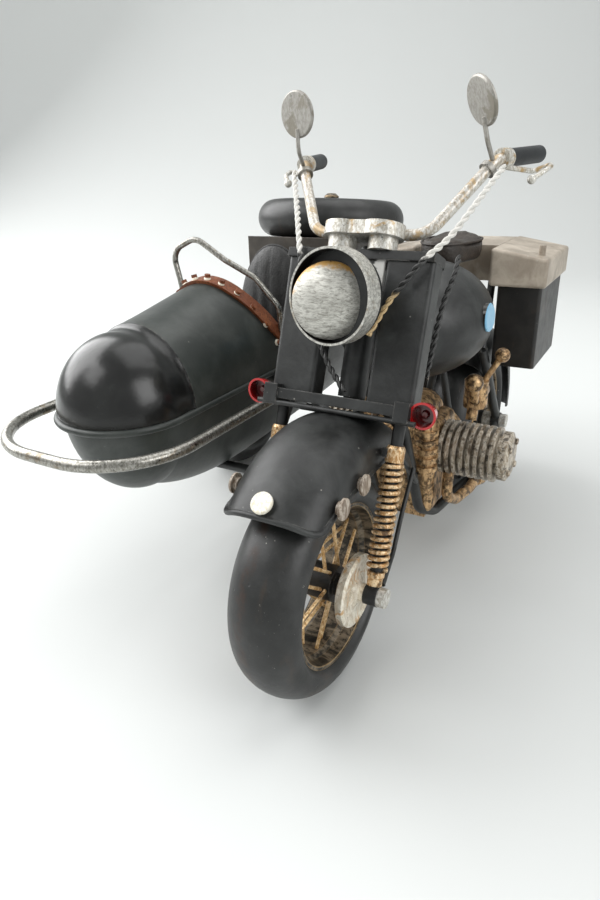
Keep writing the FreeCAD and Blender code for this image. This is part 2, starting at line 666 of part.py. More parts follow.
def carburettor(side):
    """Carburettor with a round cap, on the cylinder's intake, and the ball-topped filler beside it."""
    bowl = rod(V(side * 25, 104, 76), V(side * 25, 104, 88), 5.2)
    throat = rod(V(side * 25, 99, 81), V(side * 25, 114, 81), 3.6)
    intake = rod(V(side * 25, 99.5, 71), V(side * 25, 102, 80), 2.4)
    cap = Part.makeSphere(3.9, V(side * 27, 92, 90.5))
    neck = rod(V(side * 26, 98, 80.5), V(side * 27, 92, 90.5), 2.2)
    knob = Part.makeSphere(3.2, V(side * 34, 108, 99.0))
    stalk = rod(V(side * 26, 105, 84), V(side * 34, 108, 99.0), 1.3)
    unit = fused([bowl, throat, intake, cap, neck, knob, stalk])
    cylinder = rod(V(side * 15, 92, 60), V(side * 50, 92, 60), CYLINDER_R)
    return unit.cut(cylinder)


def left_exhaust():
    """Header close to the crankcase, into a short low silencer."""
    route = [V(20, 88, 50), V(20, 86, 38), V(21, 98, 31), V(23.5, 112, 31), V(23.5, 124, 31)]
    silencer = lathe([(0, 0), (0, 3.0), (5, 4.6), (38, 4.6), (44, 3.4), (44, 2.4), (40, 2.4), (40, 0)],
                     V(23.5, 121, 31), Y)
    return fused([bent_rod(route, 2.4, 7.0), silencer])


def right_exhaust():
    """Header from the cylinder's underside, back to a long silencer beside the sidecar."""
    route = [V(-33, 88.0, 50.0), V(-33, 84.0, 36.0), V(-31, 96.0, 28.0), V(-31, 112.0, 36.0),
             V(-31, 130.0, 50.0)]
    silencer = lathe([(0, 0), (0, 3.4), (8, 6.4), (66, 6.4), (76, 4.2), (76, 3.2), (70, 3.2), (70, 0)],
                     V(-31, 126, 50), Y)
    return fused([bent_rod(route, 2.6, 9.0), silencer])


def saddle():
    """Rider's seat on its post, broad at the back."""
    low, high = 134.0, 145.6
    outline = [V(-6, 115, low), V(6, 115, low), V(10, 124, low), V(12.6, 136, low), V(10.6, 149, low),
               V(-10.6, 149, low), V(-12.6, 136, low), V(-10, 124, low)]
    plate = Part.Face(Part.makePolygon(outline + outline[:1])).extrude(V(0, 0, high - low))
    return softened(plate, 3.2)


REAR_PROFILE = [(0, 0), (6, -0.5), (11, -2.6), (14.4, -6.2), (15.4, -10), (15.6, -14)]


def rear_fender():
    """Rear mudguard, hung from the frame's cross tube and stays."""
    guard = fender_sheet(REAR_WHEEL, 51.0, REAR_PROFILE, -8, 128)
    tab = block((-6, 6), (136, 148), (BACKBONE_Z - 3.1, BACKBONE_Z - 2.3))
    inside = rod(REAR_WHEEL - X * 30, REAR_WHEEL + X * 30, 49.0)
    return fused([guard, tab.cut(inside)])


PANNIER_Y = (142, 190)
PANNIER_X = (21.0, 41.0)


def pannier_box(side):
    """Dark luggage box beside the rear wheel."""
    box = block(PANNIER_X, PANNIER_Y, (84, 122))
    box = box.makeFillet(1.5, [edge for edge in box.Edges
                               if abs(edge.tangentAt(edge.FirstParameter).z) > 0.9])
    return box if side > 0 else box.mirror(V(), X)


LID_TOP = (139.2, 134.6)      # heights of a lid's top at its inner and outer edges


def pannier_lids():
    """Lids of both boxes, sloping outwards, and the tray between them, which the rack posts carry."""
    inner, outer = 17.6, 43.2
    front, back = 138.0, 190.0
    section = [(inner, 122), (outer, 122), (outer, LID_TOP[1]), (inner, LID_TOP[0])]
    corners = [V(x, front, z) for x, z in section]
    lid = Part.Face(Part.makePolygon(corners + corners[:1])).extrude(V(0, back - front, 0))
    knob = rod(V(38.4, 147, 134), V(38.4, 147, 139.8), 1.5)
    left = fused([softened(lid, 1.6), knob])
    tray = block((-inner, inner), (153, back), (122, LID_TOP[0] - 0.8))
    return group([left, left.mirror(V(), X), tray])


def wheel_axles():
    """Rear axle through the frame, and the sidecar's stub axle on its chassis."""
    rear = rod(REAR_WHEEL - X * 24, REAR_WHEEL + X * 24, AXLE_R)
    pieces = [rear]
    for side in (1, -1):
        pieces.append(rod(REAR_WHEEL + X * side * (BOSS_HALF + SIDE_PLAY), REAR_WHEEL + X * side * 15.8, 4))
        pieces.append(rod(REAR_WHEEL + X * side * 20.6, REAR_WHEEL + X * side * 24, 3.6))
    inner = SIDECAR_WHEEL + X * (BOSS_HALF + SIDE_PLAY)
    outer = SIDECAR_WHEEL - X * (BOSS_HALF + SIDE_PLAY)
    stub = rod(outer - X * 3.4, inner + X * 8, AXLE_R)
    spacer = rod(inner, inner + X * 8, 4.0)
    nut = rod(outer - X * 3.4, outer, 3.8)
    return group([fused(pieces), fused([stub, spacer, nut])])


# ---------------------------------------------------------------- sidecar

# Stations along the body: distance back, half width and height over the seam, depth under it
UPPER = [(NOSE_Y, 27.5, 30.0), (CAP_Y, 27.8, 31.5), (45, 28.0, 36.0), (72, 28.0, 40.5), (100, 28.0, 42.0),
         (COWL_END, 28.0, 42.0)]
LOWER = [(13, 25.5, 36.0), (42, 26.0, 45.0), (110, 26.0, 45.0), (165, 26.0, 41.0), (TAIL_Y, 22.0, 26.0)]


def half_section(y, half_width, height, inset, up):
    """Half ellipse over (up 1) or under (up -1) the seam, as a closed wire."""
    across = half_width - inset
    tall = height - inset
    ends = [V(SIDECAR_X - across, y, SEAM_Z), V(SIDECAR_X + across, y, SEAM_Z)]
    turns = [math.radians(15 * step) for step in range(13)]
    points = [V(SIDECAR_X - across * math.cos(turn), y, SEAM_Z + up * tall * math.sin(turn))
              for turn in turns]
    curve = Part.BSplineCurve()
    curve.interpolate(points)
    return Part.Wire([curve.toShape(), Part.LineSegment(ends[1], ends[0]).toShape()])


def body_loft(stations, inset, up):
    """Solid half body through its stations."""
    sections = [half_section(y, wide, tall, inset, up) for y, wide, tall in stations]
    return Part.makeLoft(sections, True, False)


def nose_loft(stations, length, inset, up):
    """Solid half body that starts with a rounded nose of this length before its first station."""
    y, half_width, height = stations[0]
    sections = [Part.Vertex(SIDECAR_X, y - length + inset, SEAM_Z)]
    for step in range(1, 8):
        turn = math.radians(90 * step / 8)
        nose_y = y - (length - inset) * math.cos(turn)
        shrink = math.sin(turn)
        wide, tall = (half_width - inset) * shrink, (height - inset) * shrink
        sections.append(half_section(nose_y, wide, tall, 0, up))
    sections += [half_section(y, wide, tall, inset, up) for y, wide, tall in stations]
    return Part.makeLoft(sections, True, False)


def sidecar_nose():
    """Rounded nose of the upper shell, up to its joint with the cowl."""
    return nose_loft(UPPER[:2], NOSE_LENGTH, 0, 1).cut(nose_loft(UPPER[:2], NOSE_LENGTH, 1.2, 1))


# Cockpit edge seen from the side: from the crest down to the sill
RIM_TOP = (70.0, 134.0)
RIM_FOOT = (87.0, COCKPIT_SILL_Z)


def cockpit_void(forward):
    """Everything above and behind the cockpit's edge, which can be moved forward."""
    top_y = RIM_TOP[0] - forward
    foot_y = RIM_FOOT[0] - forward
    sill = COCKPIT_SILL_Z - 0.35 * forward
    outline = [(top_y - 1, 140.0), (top_y, RIM_TOP[1]), (top_y + 4, 125.0), (foot_y - 3, 110.0),
               (foot_y + 6, sill), (150.0, sill), (150.0, 140.0)]
    return prism(outline, (SIDECAR_X - 45, SIDECAR_X + 45))


def sidecar_cowl():
    """Upper shell from the nose joint to the trunk, cut open for the passenger."""
    outer = body_loft(UPPER[1:], 0, 1)
    inner = body_loft(UPPER[1:], 1.2, 1)
    return outer.cut(inner).cut(cockpit_void(0))


def cockpit_trim():
    """Leather strip along the cockpit's edge, on the outside of the cowl, with rivets."""
    skin = body_loft(UPPER[1:], -1.5, 1).cut(body_loft(UPPER[1:], 0, 1))
    band = cockpit_void(8.0).cut(cockpit_void(0))
    keep = block((SIDECAR_X - 45, SIDECAR_X + 45), (50, 92.5), (SEAM_Z + 4, 150))
    strip = skin.common(band).common(keep)
    rivets = []
    for turn in range(24, 165, 14):
        angle = math.radians(turn)
        z = SEAM_Z + 40.8 * math.sin(angle)
        y = 66.2 + max(0.0, RIM_TOP[1] - 4 - z) * 0.52
        x = SIDECAR_X - 28.2 * math.cos(angle)
        outward = V(-math.cos(angle) / 28, 0, math.sin(angle) / 41)
        outward.normalize()
        rivets.append(rod(V(x, y, z) + outward * 0.6, V(x, y, z) + outward * 2.6, 1.3))
    return fused([strip] + rivets)


def grab_rail():
    """Wire rail over the cockpit's edge, with an upright loop at its outer end."""
    route = [V(-105.5, 69.5, 124.5), V(-110.0, 70.5, 142.0), V(-97.0, 71.5, 148.0), V(-83.0, 73.5, 138.5),
             V(-70.0, 77.0, 131.0), V(-61.5, 82.5, 117.5), V(-62.5, 86.0, 101.0)]
    rail = bent_rod(route, 1.3, 7.0)
    return rail.cut(body_loft(UPPER[1:], -1.5, 1))


def sidecar_hull():
    """Lower tub, recessed under the seam, with the seam bead along its top edge."""
    outer = fused([nose_loft(LOWER[:1], HULL_NOSE, 0, -1), body_loft(LOWER, 0, -1)])
    room = [(15, 25.5, 36.0), (42, 26.0, 45.0), (110, 26.0, 45.0), (138, 26.0, 43.0)]
    return outer.cut(body_loft(room, 1.4, -1))


def seam_bead():
    """Rolled bead round the seam where the upper shell meets the hull."""
    z = SEAM_Z - BEAD_R
    left, right = SIDECAR_X - BODY_HALF, SIDECAR_X + BODY_HALF
    front = NOSE_Y - NOSE_LENGTH
    route = [V(left, COWL_END, z), V(left, front, z), V(right, front, z), V(right, COWL_END, z)]
    return bent_rod(route, BEAD_R, NOSE_LENGTH)


def sidecar_seat():
    """Passenger's seat cushion and domed backrest."""
    cushion = softened(block((SIDECAR_X - 20, SIDECAR_X + 20), (84, 117), (66, 78)), 4)
    back = ellipsoid(V(SIDECAR_X, 126, 92), V(24, 10.5, 47))
    back = back.common(block((-140, -40), (110, 138.5), (66, 145)))
    return group([cushion, back])


def sidecar_bumper():
    """Bright tube round the nose, its inner leg running back to the struts."""
    z = 84.0
    route = [V(-50, 76, z), V(-50, -33, z), V(-133, -33, z), V(-133, 92, z), V(-118.5, 97, z)]
    return bent_rod(route, 2.3, 34.0)


def sidecar_chassis():
    """Tubes under the hull and the struts that tie the sidecar to the motorcycle."""
    z = SEAM_Z - 45 - FRAME_R
    y_front, y_back = 62.0, 150.0
    inner_x, outer_x = -66.0, -112.0
    loop = [V(inner_x, y_front, z), V(outer_x, y_front, z), V(outer_x, y_back, z), V(inner_x, y_back, z)]
    tubes = [rod(start, end, FRAME_R) for start, end in zip(loop, loop[1:] + loop[:1])]
    tubes += [Part.makeSphere(FRAME_R, corner) for corner in loop]
    tubes.append(rod(V(inner_x, y_front, z), V(-12.2, 72.0, 47.0), FRAME_R))
    tubes.append(rod(V(inner_x, y_back, z), V(-19.0, y_back, 32.0), FRAME_R))
    tubes.append(rod(V(-50, 76, 84), V(-11.5, 62.0, 70.0), 2.0))
    tubes.append(rod(V(-50, 76, 84), V(-64.0, 84, 84), 2.0))
    tubes.append(rod(V(-50, 76, 84), V(inner_x, 76, z), 2.0))
    tubes.append(Part.makeSphere(2.9, V(-50, 76, 84)))
    tubes.append(rod(V(outer_x, y_back, z), V(outer_x - 6.5, y_back, WHEEL_R), 3.4))
    tubes.append(rod(V(SIDECAR_X, y_back, z), V(SIDECAR_X, y_back, 60), 3.0))
    tubes.append(rod(V(inner_x, y_back, z), V(outer_x, y_back, z), FRAME_R))
    return fused(tubes)


def sidecar_fender():
    """Mudguard over the sidecar wheel, with stays to the body."""
    guard = fender_sheet(SIDECAR_WHEEL, 48.5, [(0, 0), (6, -0.5), (11, -2.2), (14, -5), (14.8, -9)], 8, 165)
    return guard


TRUNK_TOP = [(141.0, 141.0), (TAIL_Y + 1, 131.5)]   # side view of the trunk's lid


def luggage_trunk():
    """Luggage trunk behind the passenger; its lid slopes down to the back."""
    side_view = [(140.0, SEAM_Z), (TAIL_Y, SEAM_Z)] + TRUNK_TOP[::-1]
    return prism(side_view, (SIDECAR_X - 26, SIDECAR_X + 26))


TRUNK_RUN = TRUNK_TOP[1][0] - TRUNK_TOP[0][0]
TRUNK_FALL = TRUNK_TOP[0][1] - TRUNK_TOP[1][1]
TRUNK_MIDDLE = (V(0, *TRUNK_TOP[0]) + V(0, *TRUNK_TOP[1])) * 0.5
SPARE_AXIS = V(0, TRUNK_FALL, TRUNK_RUN)
SPARE_AXIS.normalize()
SPARE_SEAT = TRUNK_MIDDLE + V(SIDECAR_X + 1, 3, -0.2)
SPARE_CENTRE = SPARE_SEAT + SPARE_AXIS * SPARE_HALF


def spare_rim():
    """Rim, dished centre and clamp knob of the spare wheel, screwed down on the trunk."""
    ring = rim(SPARE_CENTRE, SPARE_HALF, SPARE_AXIS)
    dish = lathe([(-3, 0), (-3, RIM_BORE + 0.5), (-1.6, RIM_BORE + 0.5), (-1.6, 14), (3, 9), (3, 0)],
                 SPARE_CENTRE, SPARE_AXIS)
    knob = lathe([(2, 0), (2, 2.0), (8.5, 2.0), (8.5, 4.2), (12.5, 4.2), (14, 2.4), (14, 0)],
                 SPARE_CENTRE, SPARE_AXIS)
    foot = lathe([(-SPARE_HALF, 0), (-SPARE_HALF, 12), (-3, 6), (-3, 0)], SPARE_CENTRE, SPARE_AXIS)
    return fused([ring, dish, knob, foot])


# ---------------------------------------------------------------- assembly

nodes = {}


def build_steering():
    """Everything that turns with the handlebar."""
    nodes["fork_cover_left"] = fork_cover(1)
    nodes["fork_cover_right"] = fork_cover(-1)
    nodes["fork_legs"] = group(both_sides(fork_leg))
    nodes["fork_springs"] = group(both_sides(fork_spring))
    nodes["spring_collars"] = group(both_sides(spring_collars))
    nodes["lower_yoke"] = lower_yoke()
    nodes["steering_stem"] = steering_stem()
    nodes["handlebar"] = handlebar()
    nodes["handlebar_grips"] = group(both_sides(grip))
    nodes["control_levers"] = group(both_sides(control_lever)).cut(nodes["handlebar"])
    nodes["mirrors"] = group([mirror(1, 43, 20), mirror(-1, 14, 6)])
    nodes["gauge_cluster"] = gauge_cluster().cut(nodes["handlebar"]).cut(nodes["steering_stem"])
    nodes["headlight_rim"] = headlight_rim()
    nodes["headlight_shell"] = headlight_shell()
    nodes["headlight_lens"] = headlight_lens()
    flange_front = raked(block((-9.6, 9.6), (-40, -2.8), (60, 125)))
    post = headlight_post().common(flange_front)
    nodes["upper_yoke"] = fused([upper_yoke(), post])
    nodes["marker_lamps"] = group(both_sides(marker_lamp))
    nodes["lower_yoke"] = nodes["lower_yoke"].cut(nodes["marker_lamps"])
    nodes["front_fender"] = front_fender()
    nodes["fender_studs"] = fender_studs().cut(nodes["front_fender"])
    nodes["fender_stays"] = group(both_sides(fender_stay)).cut(nodes["front_fender"])
    nodes["front_axle"] = front_axle()
    nodes["brake_plate"] = brake_plate()
    nodes["control_cables"] = group([cable(LEFT_CABLE), cable(RIGHT_CABLE), cable(BACK_CABLE)])


def build_motorcycle():
    """Frame, engine, tank and luggage of the motorcycle."""
    nodes["frame"] = frame()
    nodes["fuel_tank"] = fuel_tank()
    nodes["tank_cap"] = tank_cap().cut(nodes["fuel_tank"])
    nodes["tank_badges"] = group(both_sides(tank_badge)).cut(nodes["fuel_tank"])
    nodes["engine_cylinders"] = group(both_sides(engine_cylinder))
    nodes["crankcase"] = crankcase().cut(nodes["frame"]).cut(nodes["engine_cylinders"])
    nodes["carburettors"] = group(both_sides(carburettor)).cut(nodes["fuel_tank"])
    exhausts = group([left_exhaust(), right_exhaust()])
    nodes["exhaust_pipes"] = exhausts.cut(nodes["engine_cylinders"]).cut(nodes["frame"])
    nodes["saddle"] = saddle().cut(nodes["frame"])
    nodes["rear_fender"] = rear_fender().cut(nodes["frame"])
    nodes["pannier_boxes"] = group(both_sides(pannier_box))
    nodes["pannier_lids"] = pannier_lids().cut(nodes["frame"])
    nodes["wheel_axles"] = wheel_axles()


def build_sidecar():
    """Sidecar body, chassis and luggage."""
    nodes["sidecar_nose"] = sidecar_nose()
    nodes["sidecar_cowl"] = sidecar_cowl()
    nodes["cockpit_trim"] = cockpit_trim()
    nodes["grab_rail"] = grab_rail().cut(nodes["cockpit_trim"])
    nodes["sidecar_hull"] = fused([sidecar_hull(), seam_bead()])
    nodes["sidecar_seat"] = sidecar_seat().cut(nodes["sidecar_hull"])
    nodes["sidecar_bumper"] = sidecar_bumper().cut(nodes["sidecar_hull"])
    chassis = sidecar_chassis().cut(nodes["frame"]).cut(nodes["sidecar_bumper"])
    nodes["sidecar_chassis"] = chassis.cut(nodes["sidecar_hull"]).cut(nodes["wheel_axles"])
    nodes["sidecar_fender"] = sidecar_fender()
    nodes["luggage_trunk"] = luggage_trunk()
    nodes["spare_tyre"] = tyre(SPARE_CENTRE, SPARE_HALF, SPARE_AXIS)
    nodes["spare_rim"] = spare_rim().cut(nodes["luggage_trunk"])


build_steering()
add_wheel("front", FRONT_WHEEL)
build_motorcycle()
add_wheel("rear", REAR_WHEEL)
build_sidecar()
add_wheel("sidecar", SIDECAR_WHEEL)

whole = Part.makeCompound(list(nodes.values())).optimalBoundingBox(True, False)
ORIGIN_SHIFT = V(-whole.Center.x, -whole.Center.y, -whole.ZMin)

os.makedirs("parts", exist_ok=True)
for name, shape in nodes.items():
    shape.translate(ORIGIN_SHIFT)
    shape.exportStep("parts/" + name + ".step")
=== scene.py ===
import json
import math

import bpy
from mathutils import Matrix, Vector, noise


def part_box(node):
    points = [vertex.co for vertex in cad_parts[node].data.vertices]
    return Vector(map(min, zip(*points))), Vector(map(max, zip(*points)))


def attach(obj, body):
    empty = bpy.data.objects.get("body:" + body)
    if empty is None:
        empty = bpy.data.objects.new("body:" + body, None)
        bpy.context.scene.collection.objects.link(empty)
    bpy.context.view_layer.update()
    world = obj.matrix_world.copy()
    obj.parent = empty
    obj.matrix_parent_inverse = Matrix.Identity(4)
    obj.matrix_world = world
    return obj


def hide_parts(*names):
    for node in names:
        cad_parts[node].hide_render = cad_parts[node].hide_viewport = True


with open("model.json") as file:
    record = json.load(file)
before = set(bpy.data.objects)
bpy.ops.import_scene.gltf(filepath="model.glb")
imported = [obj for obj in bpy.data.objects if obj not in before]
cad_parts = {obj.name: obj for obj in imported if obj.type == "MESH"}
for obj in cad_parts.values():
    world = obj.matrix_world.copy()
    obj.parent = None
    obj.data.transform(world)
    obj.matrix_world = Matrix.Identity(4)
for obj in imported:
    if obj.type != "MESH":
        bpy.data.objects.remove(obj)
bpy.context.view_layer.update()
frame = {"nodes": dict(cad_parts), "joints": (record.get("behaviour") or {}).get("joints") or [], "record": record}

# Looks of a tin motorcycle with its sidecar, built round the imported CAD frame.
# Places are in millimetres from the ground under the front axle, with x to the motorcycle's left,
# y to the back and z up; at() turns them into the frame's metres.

MM = 0.001
NODES = frame["nodes"]
JOINT_AT = {joint["name"]: Vector(joint["pos_m"]) for joint in frame["joints"]}
FRONT_AXLE = JOINT_AT["front_wheel_spin"]
DATUM = FRONT_AXLE - Vector((0, 0, FRONT_AXLE.z))   # ground under the front axle
SIDECAR_X = -90.0


def at(x, y, z):
    """Point given in millimetres from the ground under the front axle."""
    return DATUM + Vector((x, y, z)) * MM


# ---------------------------------------------------------------- materials

class Finish:
    """One node material, built up layer by layer on a Principled shader."""

    def __init__(self, name, metallic=0.0, roughness=0.5, coat=0.0):
        self.material = bpy.data.materials.new(name)
        self.material.use_nodes = True
        self.tree = self.material.node_tree
        self.shader = self.tree.nodes["Principled BSDF"]
        self.shader.inputs["Metallic"].default_value = metallic
        self.shader.inputs["Roughness"].default_value = roughness
        self.shader.inputs["Coat Weight"].default_value = coat
        self.shader.inputs["Coat Roughness"].default_value = 0.15
        self.shader.inputs["IOR"].default_value = 1.5
        self.place = self.node("ShaderNodeTexCoord").outputs["Object"]
        self.edges = None

    @classmethod
    def over(cls, material):
        """Go on with a material that is already made."""
        self = cls.__new__(cls)
        self.material = material
        self.tree = material.node_tree
        self.shader = self.tree.nodes["Principled BSDF"]
        self.place = self.tree.nodes["Texture Coordinate"].outputs["Object"]
        self.edges = None
        return self

    def over_colour(self, amount, colour):
        """Lay a colour over what is there."""
        below = self.shader.inputs["Base Color"].links[0].from_socket
        self.colour(self.blend(amount, below, colour))

    def node(self, kind, **settings):
        """New shader node with its settings."""
        made = self.tree.nodes.new(kind)
        for key, value in settings.items():
            setattr(made, key, value)
        return made

    def feed(self, socket, value):
        """Link a socket or set a plain value."""
        if isinstance(value, bpy.types.NodeSocket):
            self.tree.links.new(value, socket)
        elif isinstance(value, tuple) and len(value) == 3 and socket.type == "RGBA":
            socket.default_value = (*value, 1)
        else:
            socket.default_value = value

    def mapped(self, stretch, seed):
        """Object coordinates, stretched along the axes and moved by a seed."""
        mapping = self.node("ShaderNodeMapping")
        self.feed(mapping.inputs["Vector"], self.place)
        mapping.inputs["Scale"].default_value = stretch
        mapping.inputs["Location"].default_value = (seed * 0.37, seed * 0.71, seed * 0.53)
        return mapping.outputs["Vector"]

    def noise(self, size_mm, seed=0.0, detail=4, rough=0.6, stretch=(1, 1, 1), warp=0.0):
        """Cloudy pattern whose features are about size_mm across, from 0 to 1."""
        clouds = self.node("ShaderNodeTexNoise")
        self.feed(clouds.inputs["Vector"], self.mapped(stretch, seed))
        clouds.inputs["Scale"].default_value = 1 / (size_mm * MM)
        clouds.inputs["Detail"].default_value = detail
        clouds.inputs["Roughness"].default_value = rough
        clouds.inputs["Distortion"].default_value = warp
        return clouds.outputs["Fac"]

    def cells(self, size_mm, seed=0.0):
        """Distance from scattered points, for pits and flecks."""
        cells = self.node("ShaderNodeTexVoronoi")
        self.feed(cells.inputs["Vector"], self.mapped((1, 1, 1), seed))
        cells.inputs["Scale"].default_value = 1 / (size_mm * MM)
        return cells.outputs["Distance"]

    def between(self, value, low, high):
        """0 below low, 1 above high, smooth in between; low may be above high."""
        ramp = self.node("ShaderNodeMapRange", interpolation_type="SMOOTHSTEP")
        self.feed(ramp.inputs["Value"], value)
        ramp.inputs["From Min"].default_value = low
        ramp.inputs["From Max"].default_value = high
        return ramp.outputs["Result"]

    def blend(self, amount, first, second):
        """Colour that goes from first to second."""
        mix = self.node("ShaderNodeMix", data_type="RGBA")
        amount_socket, first_socket, second_socket = mix.inputs[0], mix.inputs[6], mix.inputs[7]
        self.feed(amount_socket, amount)
        self.feed(first_socket, first)
        self.feed(second_socket, second)
        return mix.outputs[2]

    def maths(self, operation, first, second=0):
        """One step of arithmetic."""
        step = self.node("ShaderNodeMath", operation=operation)
        self.feed(step.inputs[0], first)
        self.feed(step.inputs[1], second)
        return step.outputs[0]

    def times(self, first, second):
        """Product of two values."""
        return self.maths("MULTIPLY", first, second)

    def plus(self, first, second):
        """Total of two values."""
        return self.maths("ADD", first, second)

    def off(self, value, place):
        """Distance of a value from a place, whichever side it is on."""
        return self.maths("ABSOLUTE", self.maths("SUBTRACT", value, place))

    def vector(self, operation, first, second):
        """One step of vector arithmetic between a socket and a fixed vector."""
        step = self.node("ShaderNodeVectorMath", operation=operation)
        self.feed(step.inputs[0], first)
        if second is not None:
            step.inputs[1].default_value = second
        return step

    def axis(self, name):
        """One object coordinate in metres."""
        split = self.node("ShaderNodeSeparateXYZ")
        self.feed(split.inputs[0], self.place)
        return split.outputs[name]

    def worn_edges(self, radius_mm=0.6, low=0.02, high=0.25):
        """Mask of the outer edges, where paint rubs off."""
        bevel = self.node("ShaderNodeBevel", samples=4)
        bevel.inputs["Radius"].default_value = radius_mm * MM
        normal = self.node("ShaderNodeNewGeometry").outputs["Normal"]
        dot = self.node("ShaderNodeVectorMath", operation="DOT_PRODUCT")
        self.feed(dot.inputs[0], bevel.outputs["Normal"])
        self.feed(dot.inputs[1], normal)
        self.edges = bevel.outputs["Normal"]
        return self.between(dot.outputs["Value"], 1 - low, 1 - high)

    def colour(self, value):
        """Paint the shader's base colour."""
        self.feed(self.shader.inputs["Base Color"], value)

    def rough_range(self, pattern, low, high):
        """Roughness that follows a pattern."""
        ramp = self.node("ShaderNodeMapRange")
        self.feed(ramp.inputs["Value"], pattern)
        ramp.inputs["To Min"].default_value = low
        ramp.inputs["To Max"].default_value = high
        self.feed(self.shader.inputs["Roughness"], ramp.outputs["Result"])

    def bump(self, *layers):
        """Surface relief from (height, depth in mm) layers, over the rounded edges if there are any."""
        normal = self.edges
        for height, depth_mm in layers:
            bump = self.node("ShaderNodeBump")
            bump.inputs["Distance"].default_value = depth_mm * MM
            self.feed(bump.inputs["Height"], height)
            if normal is not None:
                self.feed(bump.inputs["Normal"], normal)
            normal = bump.outputs["Normal"]
        self.feed(self.shader.inputs["Normal"], normal)


def painted_tin(name, dark, haze, roughness=(0.30, 0.55), wear=(0.20, 0.19, 0.17), flecks=1.0, brown=0.0):
    """Hand-painted tin: mottled sheen, rubbed edges, pale flecks and fine scratches."""
    paint = Finish(name)
    cloud = paint.noise(14, seed=1, detail=5, warp=0.4)
    base = paint.blend(paint.between(cloud, 0.35, 0.75), dark, haze)
    if brown:
        stain = paint.between(paint.noise(9, seed=5, stretch=(1, 1, 0.5)), 0.55, 0.75)
        base = paint.blend(paint.times(stain, brown), base, (0.09, 0.055, 0.03))
    edge = paint.worn_edges()
    grain = paint.between(paint.noise(1.6, seed=2, detail=3), 0.42, 0.62)
    worn = paint.times(edge, grain)
    base = paint.blend(paint.times(worn, 0.75), base, wear)
    fleck = paint.between(paint.cells(4.5, seed=3), 0.075, 0.045)
    patch = paint.between(paint.noise(16, seed=4), 0.5, 0.62)
    fleck = paint.times(paint.times(fleck, patch), 0.55 * flecks)
    base = paint.blend(fleck, base, (0.42, 0.40, 0.36))
    scratch = paint.between(paint.noise(0.9, seed=6, detail=2, stretch=(0.12, 1, 1)), 0.70, 0.80)
    base = paint.blend(paint.times(scratch, 0.12), base, (0.3, 0.3, 0.28))
    paint.colour(base)
    paint.rough_range(paint.noise(5, seed=7, detail=5), *roughness)
    paint.bump((paint.noise(1.1, seed=8, detail=4), 0.05), (paint.noise(9, seed=9, detail=2), 0.12))
    return paint.material


def worn_metal(name, bright, shade, rust, rust_amount=0.5, specks=0.5, wash=0.3, roughness=(0.28, 0.5),
               brush=(1, 1, 0.45), grain_mm=0.8, metallic=0.75, edge=None):
    """Dry-brushed metal paint: bright strokes over a shade, a dark wash, specks and golden rust.

    The amounts of rust and wash move the point from which the patches show; edge colours the outer edges.
    """
    metal = Finish(name, metallic=metallic)
    strokes = metal.noise(grain_mm, seed=11, detail=5, stretch=brush, warp=0.5)
    base = metal.blend(metal.between(strokes, 0.38, 0.62), shade, bright)
    patch = metal.noise(7, seed=12, detail=6, rough=0.65, warp=0.8)
    rust_from = 0.64 - 0.2 * rust_amount
    patch = metal.between(patch, rust_from, rust_from + 0.1)
    base = metal.blend(metal.times(patch, 0.85), base, rust)
    wash_from = 0.62 - 0.25 * wash
    soak = metal.between(metal.noise(3.2, seed=18, detail=6, rough=0.7), wash_from, wash_from + 0.1)
    base = metal.blend(metal.times(soak, 0.85), base, tuple(c * 0.12 for c in shade))
    speck = metal.between(metal.noise(0.7, seed=13, detail=3), 0.60, 0.68)
    region = metal.between(metal.noise(6, seed=14), 0.42, 0.58)
    speck = metal.times(metal.times(speck, region), specks)
    base = metal.blend(speck, base, (0.04, 0.035, 0.03))
    if edge is None:
        metal.worn_edges(0.35)
    else:
        base = metal.blend(metal.worn_edges(0.7, 0.005, 0.12), base, edge)
    metal.colour(base)
    metal.rough_range(metal.noise(3, seed=15, detail=5), *roughness)
    metal.bump((strokes, 0.04), (metal.noise(2.2, seed=16, detail=4), 0.08))
    return metal.material


def tyre_rubber(name, streak_x=None):
    """Charcoal rubber with pale flecks and gouges; a brown streak can run round the tread."""
    rubber = Finish(name)
    cloud = rubber.between(rubber.noise(12, seed=21, detail=5), 0.35, 0.7)
    base = rubber.blend(cloud, (0.010, 0.0105, 0.010), (0.026, 0.0265, 0.026))
    stain = rubber.between(rubber.noise(7, seed=22, stretch=(1, 0.3, 0.3)), 0.58, 0.74)
    base = rubber.blend(rubber.times(stain, 0.3), base, (0.07, 0.042, 0.024))
    if streak_x is not None:
        offset = rubber.maths("SUBTRACT", rubber.axis("X"), streak_x)
        wobble = rubber.times(rubber.noise(9, seed=28), 0.005)
        off_line = rubber.maths("ABSOLUTE", rubber.plus(offset, wobble))
        band = rubber.between(off_line, 0.0032, 0.0008)
        band = rubber.times(band, rubber.between(rubber.noise(6, seed=29, detail=5), 0.38, 0.6))
        base = rubber.blend(rubber.times(band, 0.8), base, (0.028, 0.012, 0.006))
    fleck = rubber.between(rubber.noise(0.8, seed=23, detail=2), 0.68, 0.73)
    patch = rubber.between(rubber.noise(9, seed=24, detail=3), 0.56, 0.66)
    fleck = rubber.times(rubber.times(fleck, patch), 0.8)
    base = rubber.blend(fleck, base, (0.42, 0.41, 0.36))
    rubber.colour(base)
    rubber.rough_range(rubber.noise(4, seed=25, detail=6), 0.30, 0.52)
    gouge = rubber.between(rubber.cells(6, seed=26), 0.02, 0.10)
    rubber.bump((rubber.noise(1.0, seed=27, detail=5), 0.05), (gouge, 0.10))
    return rubber.material


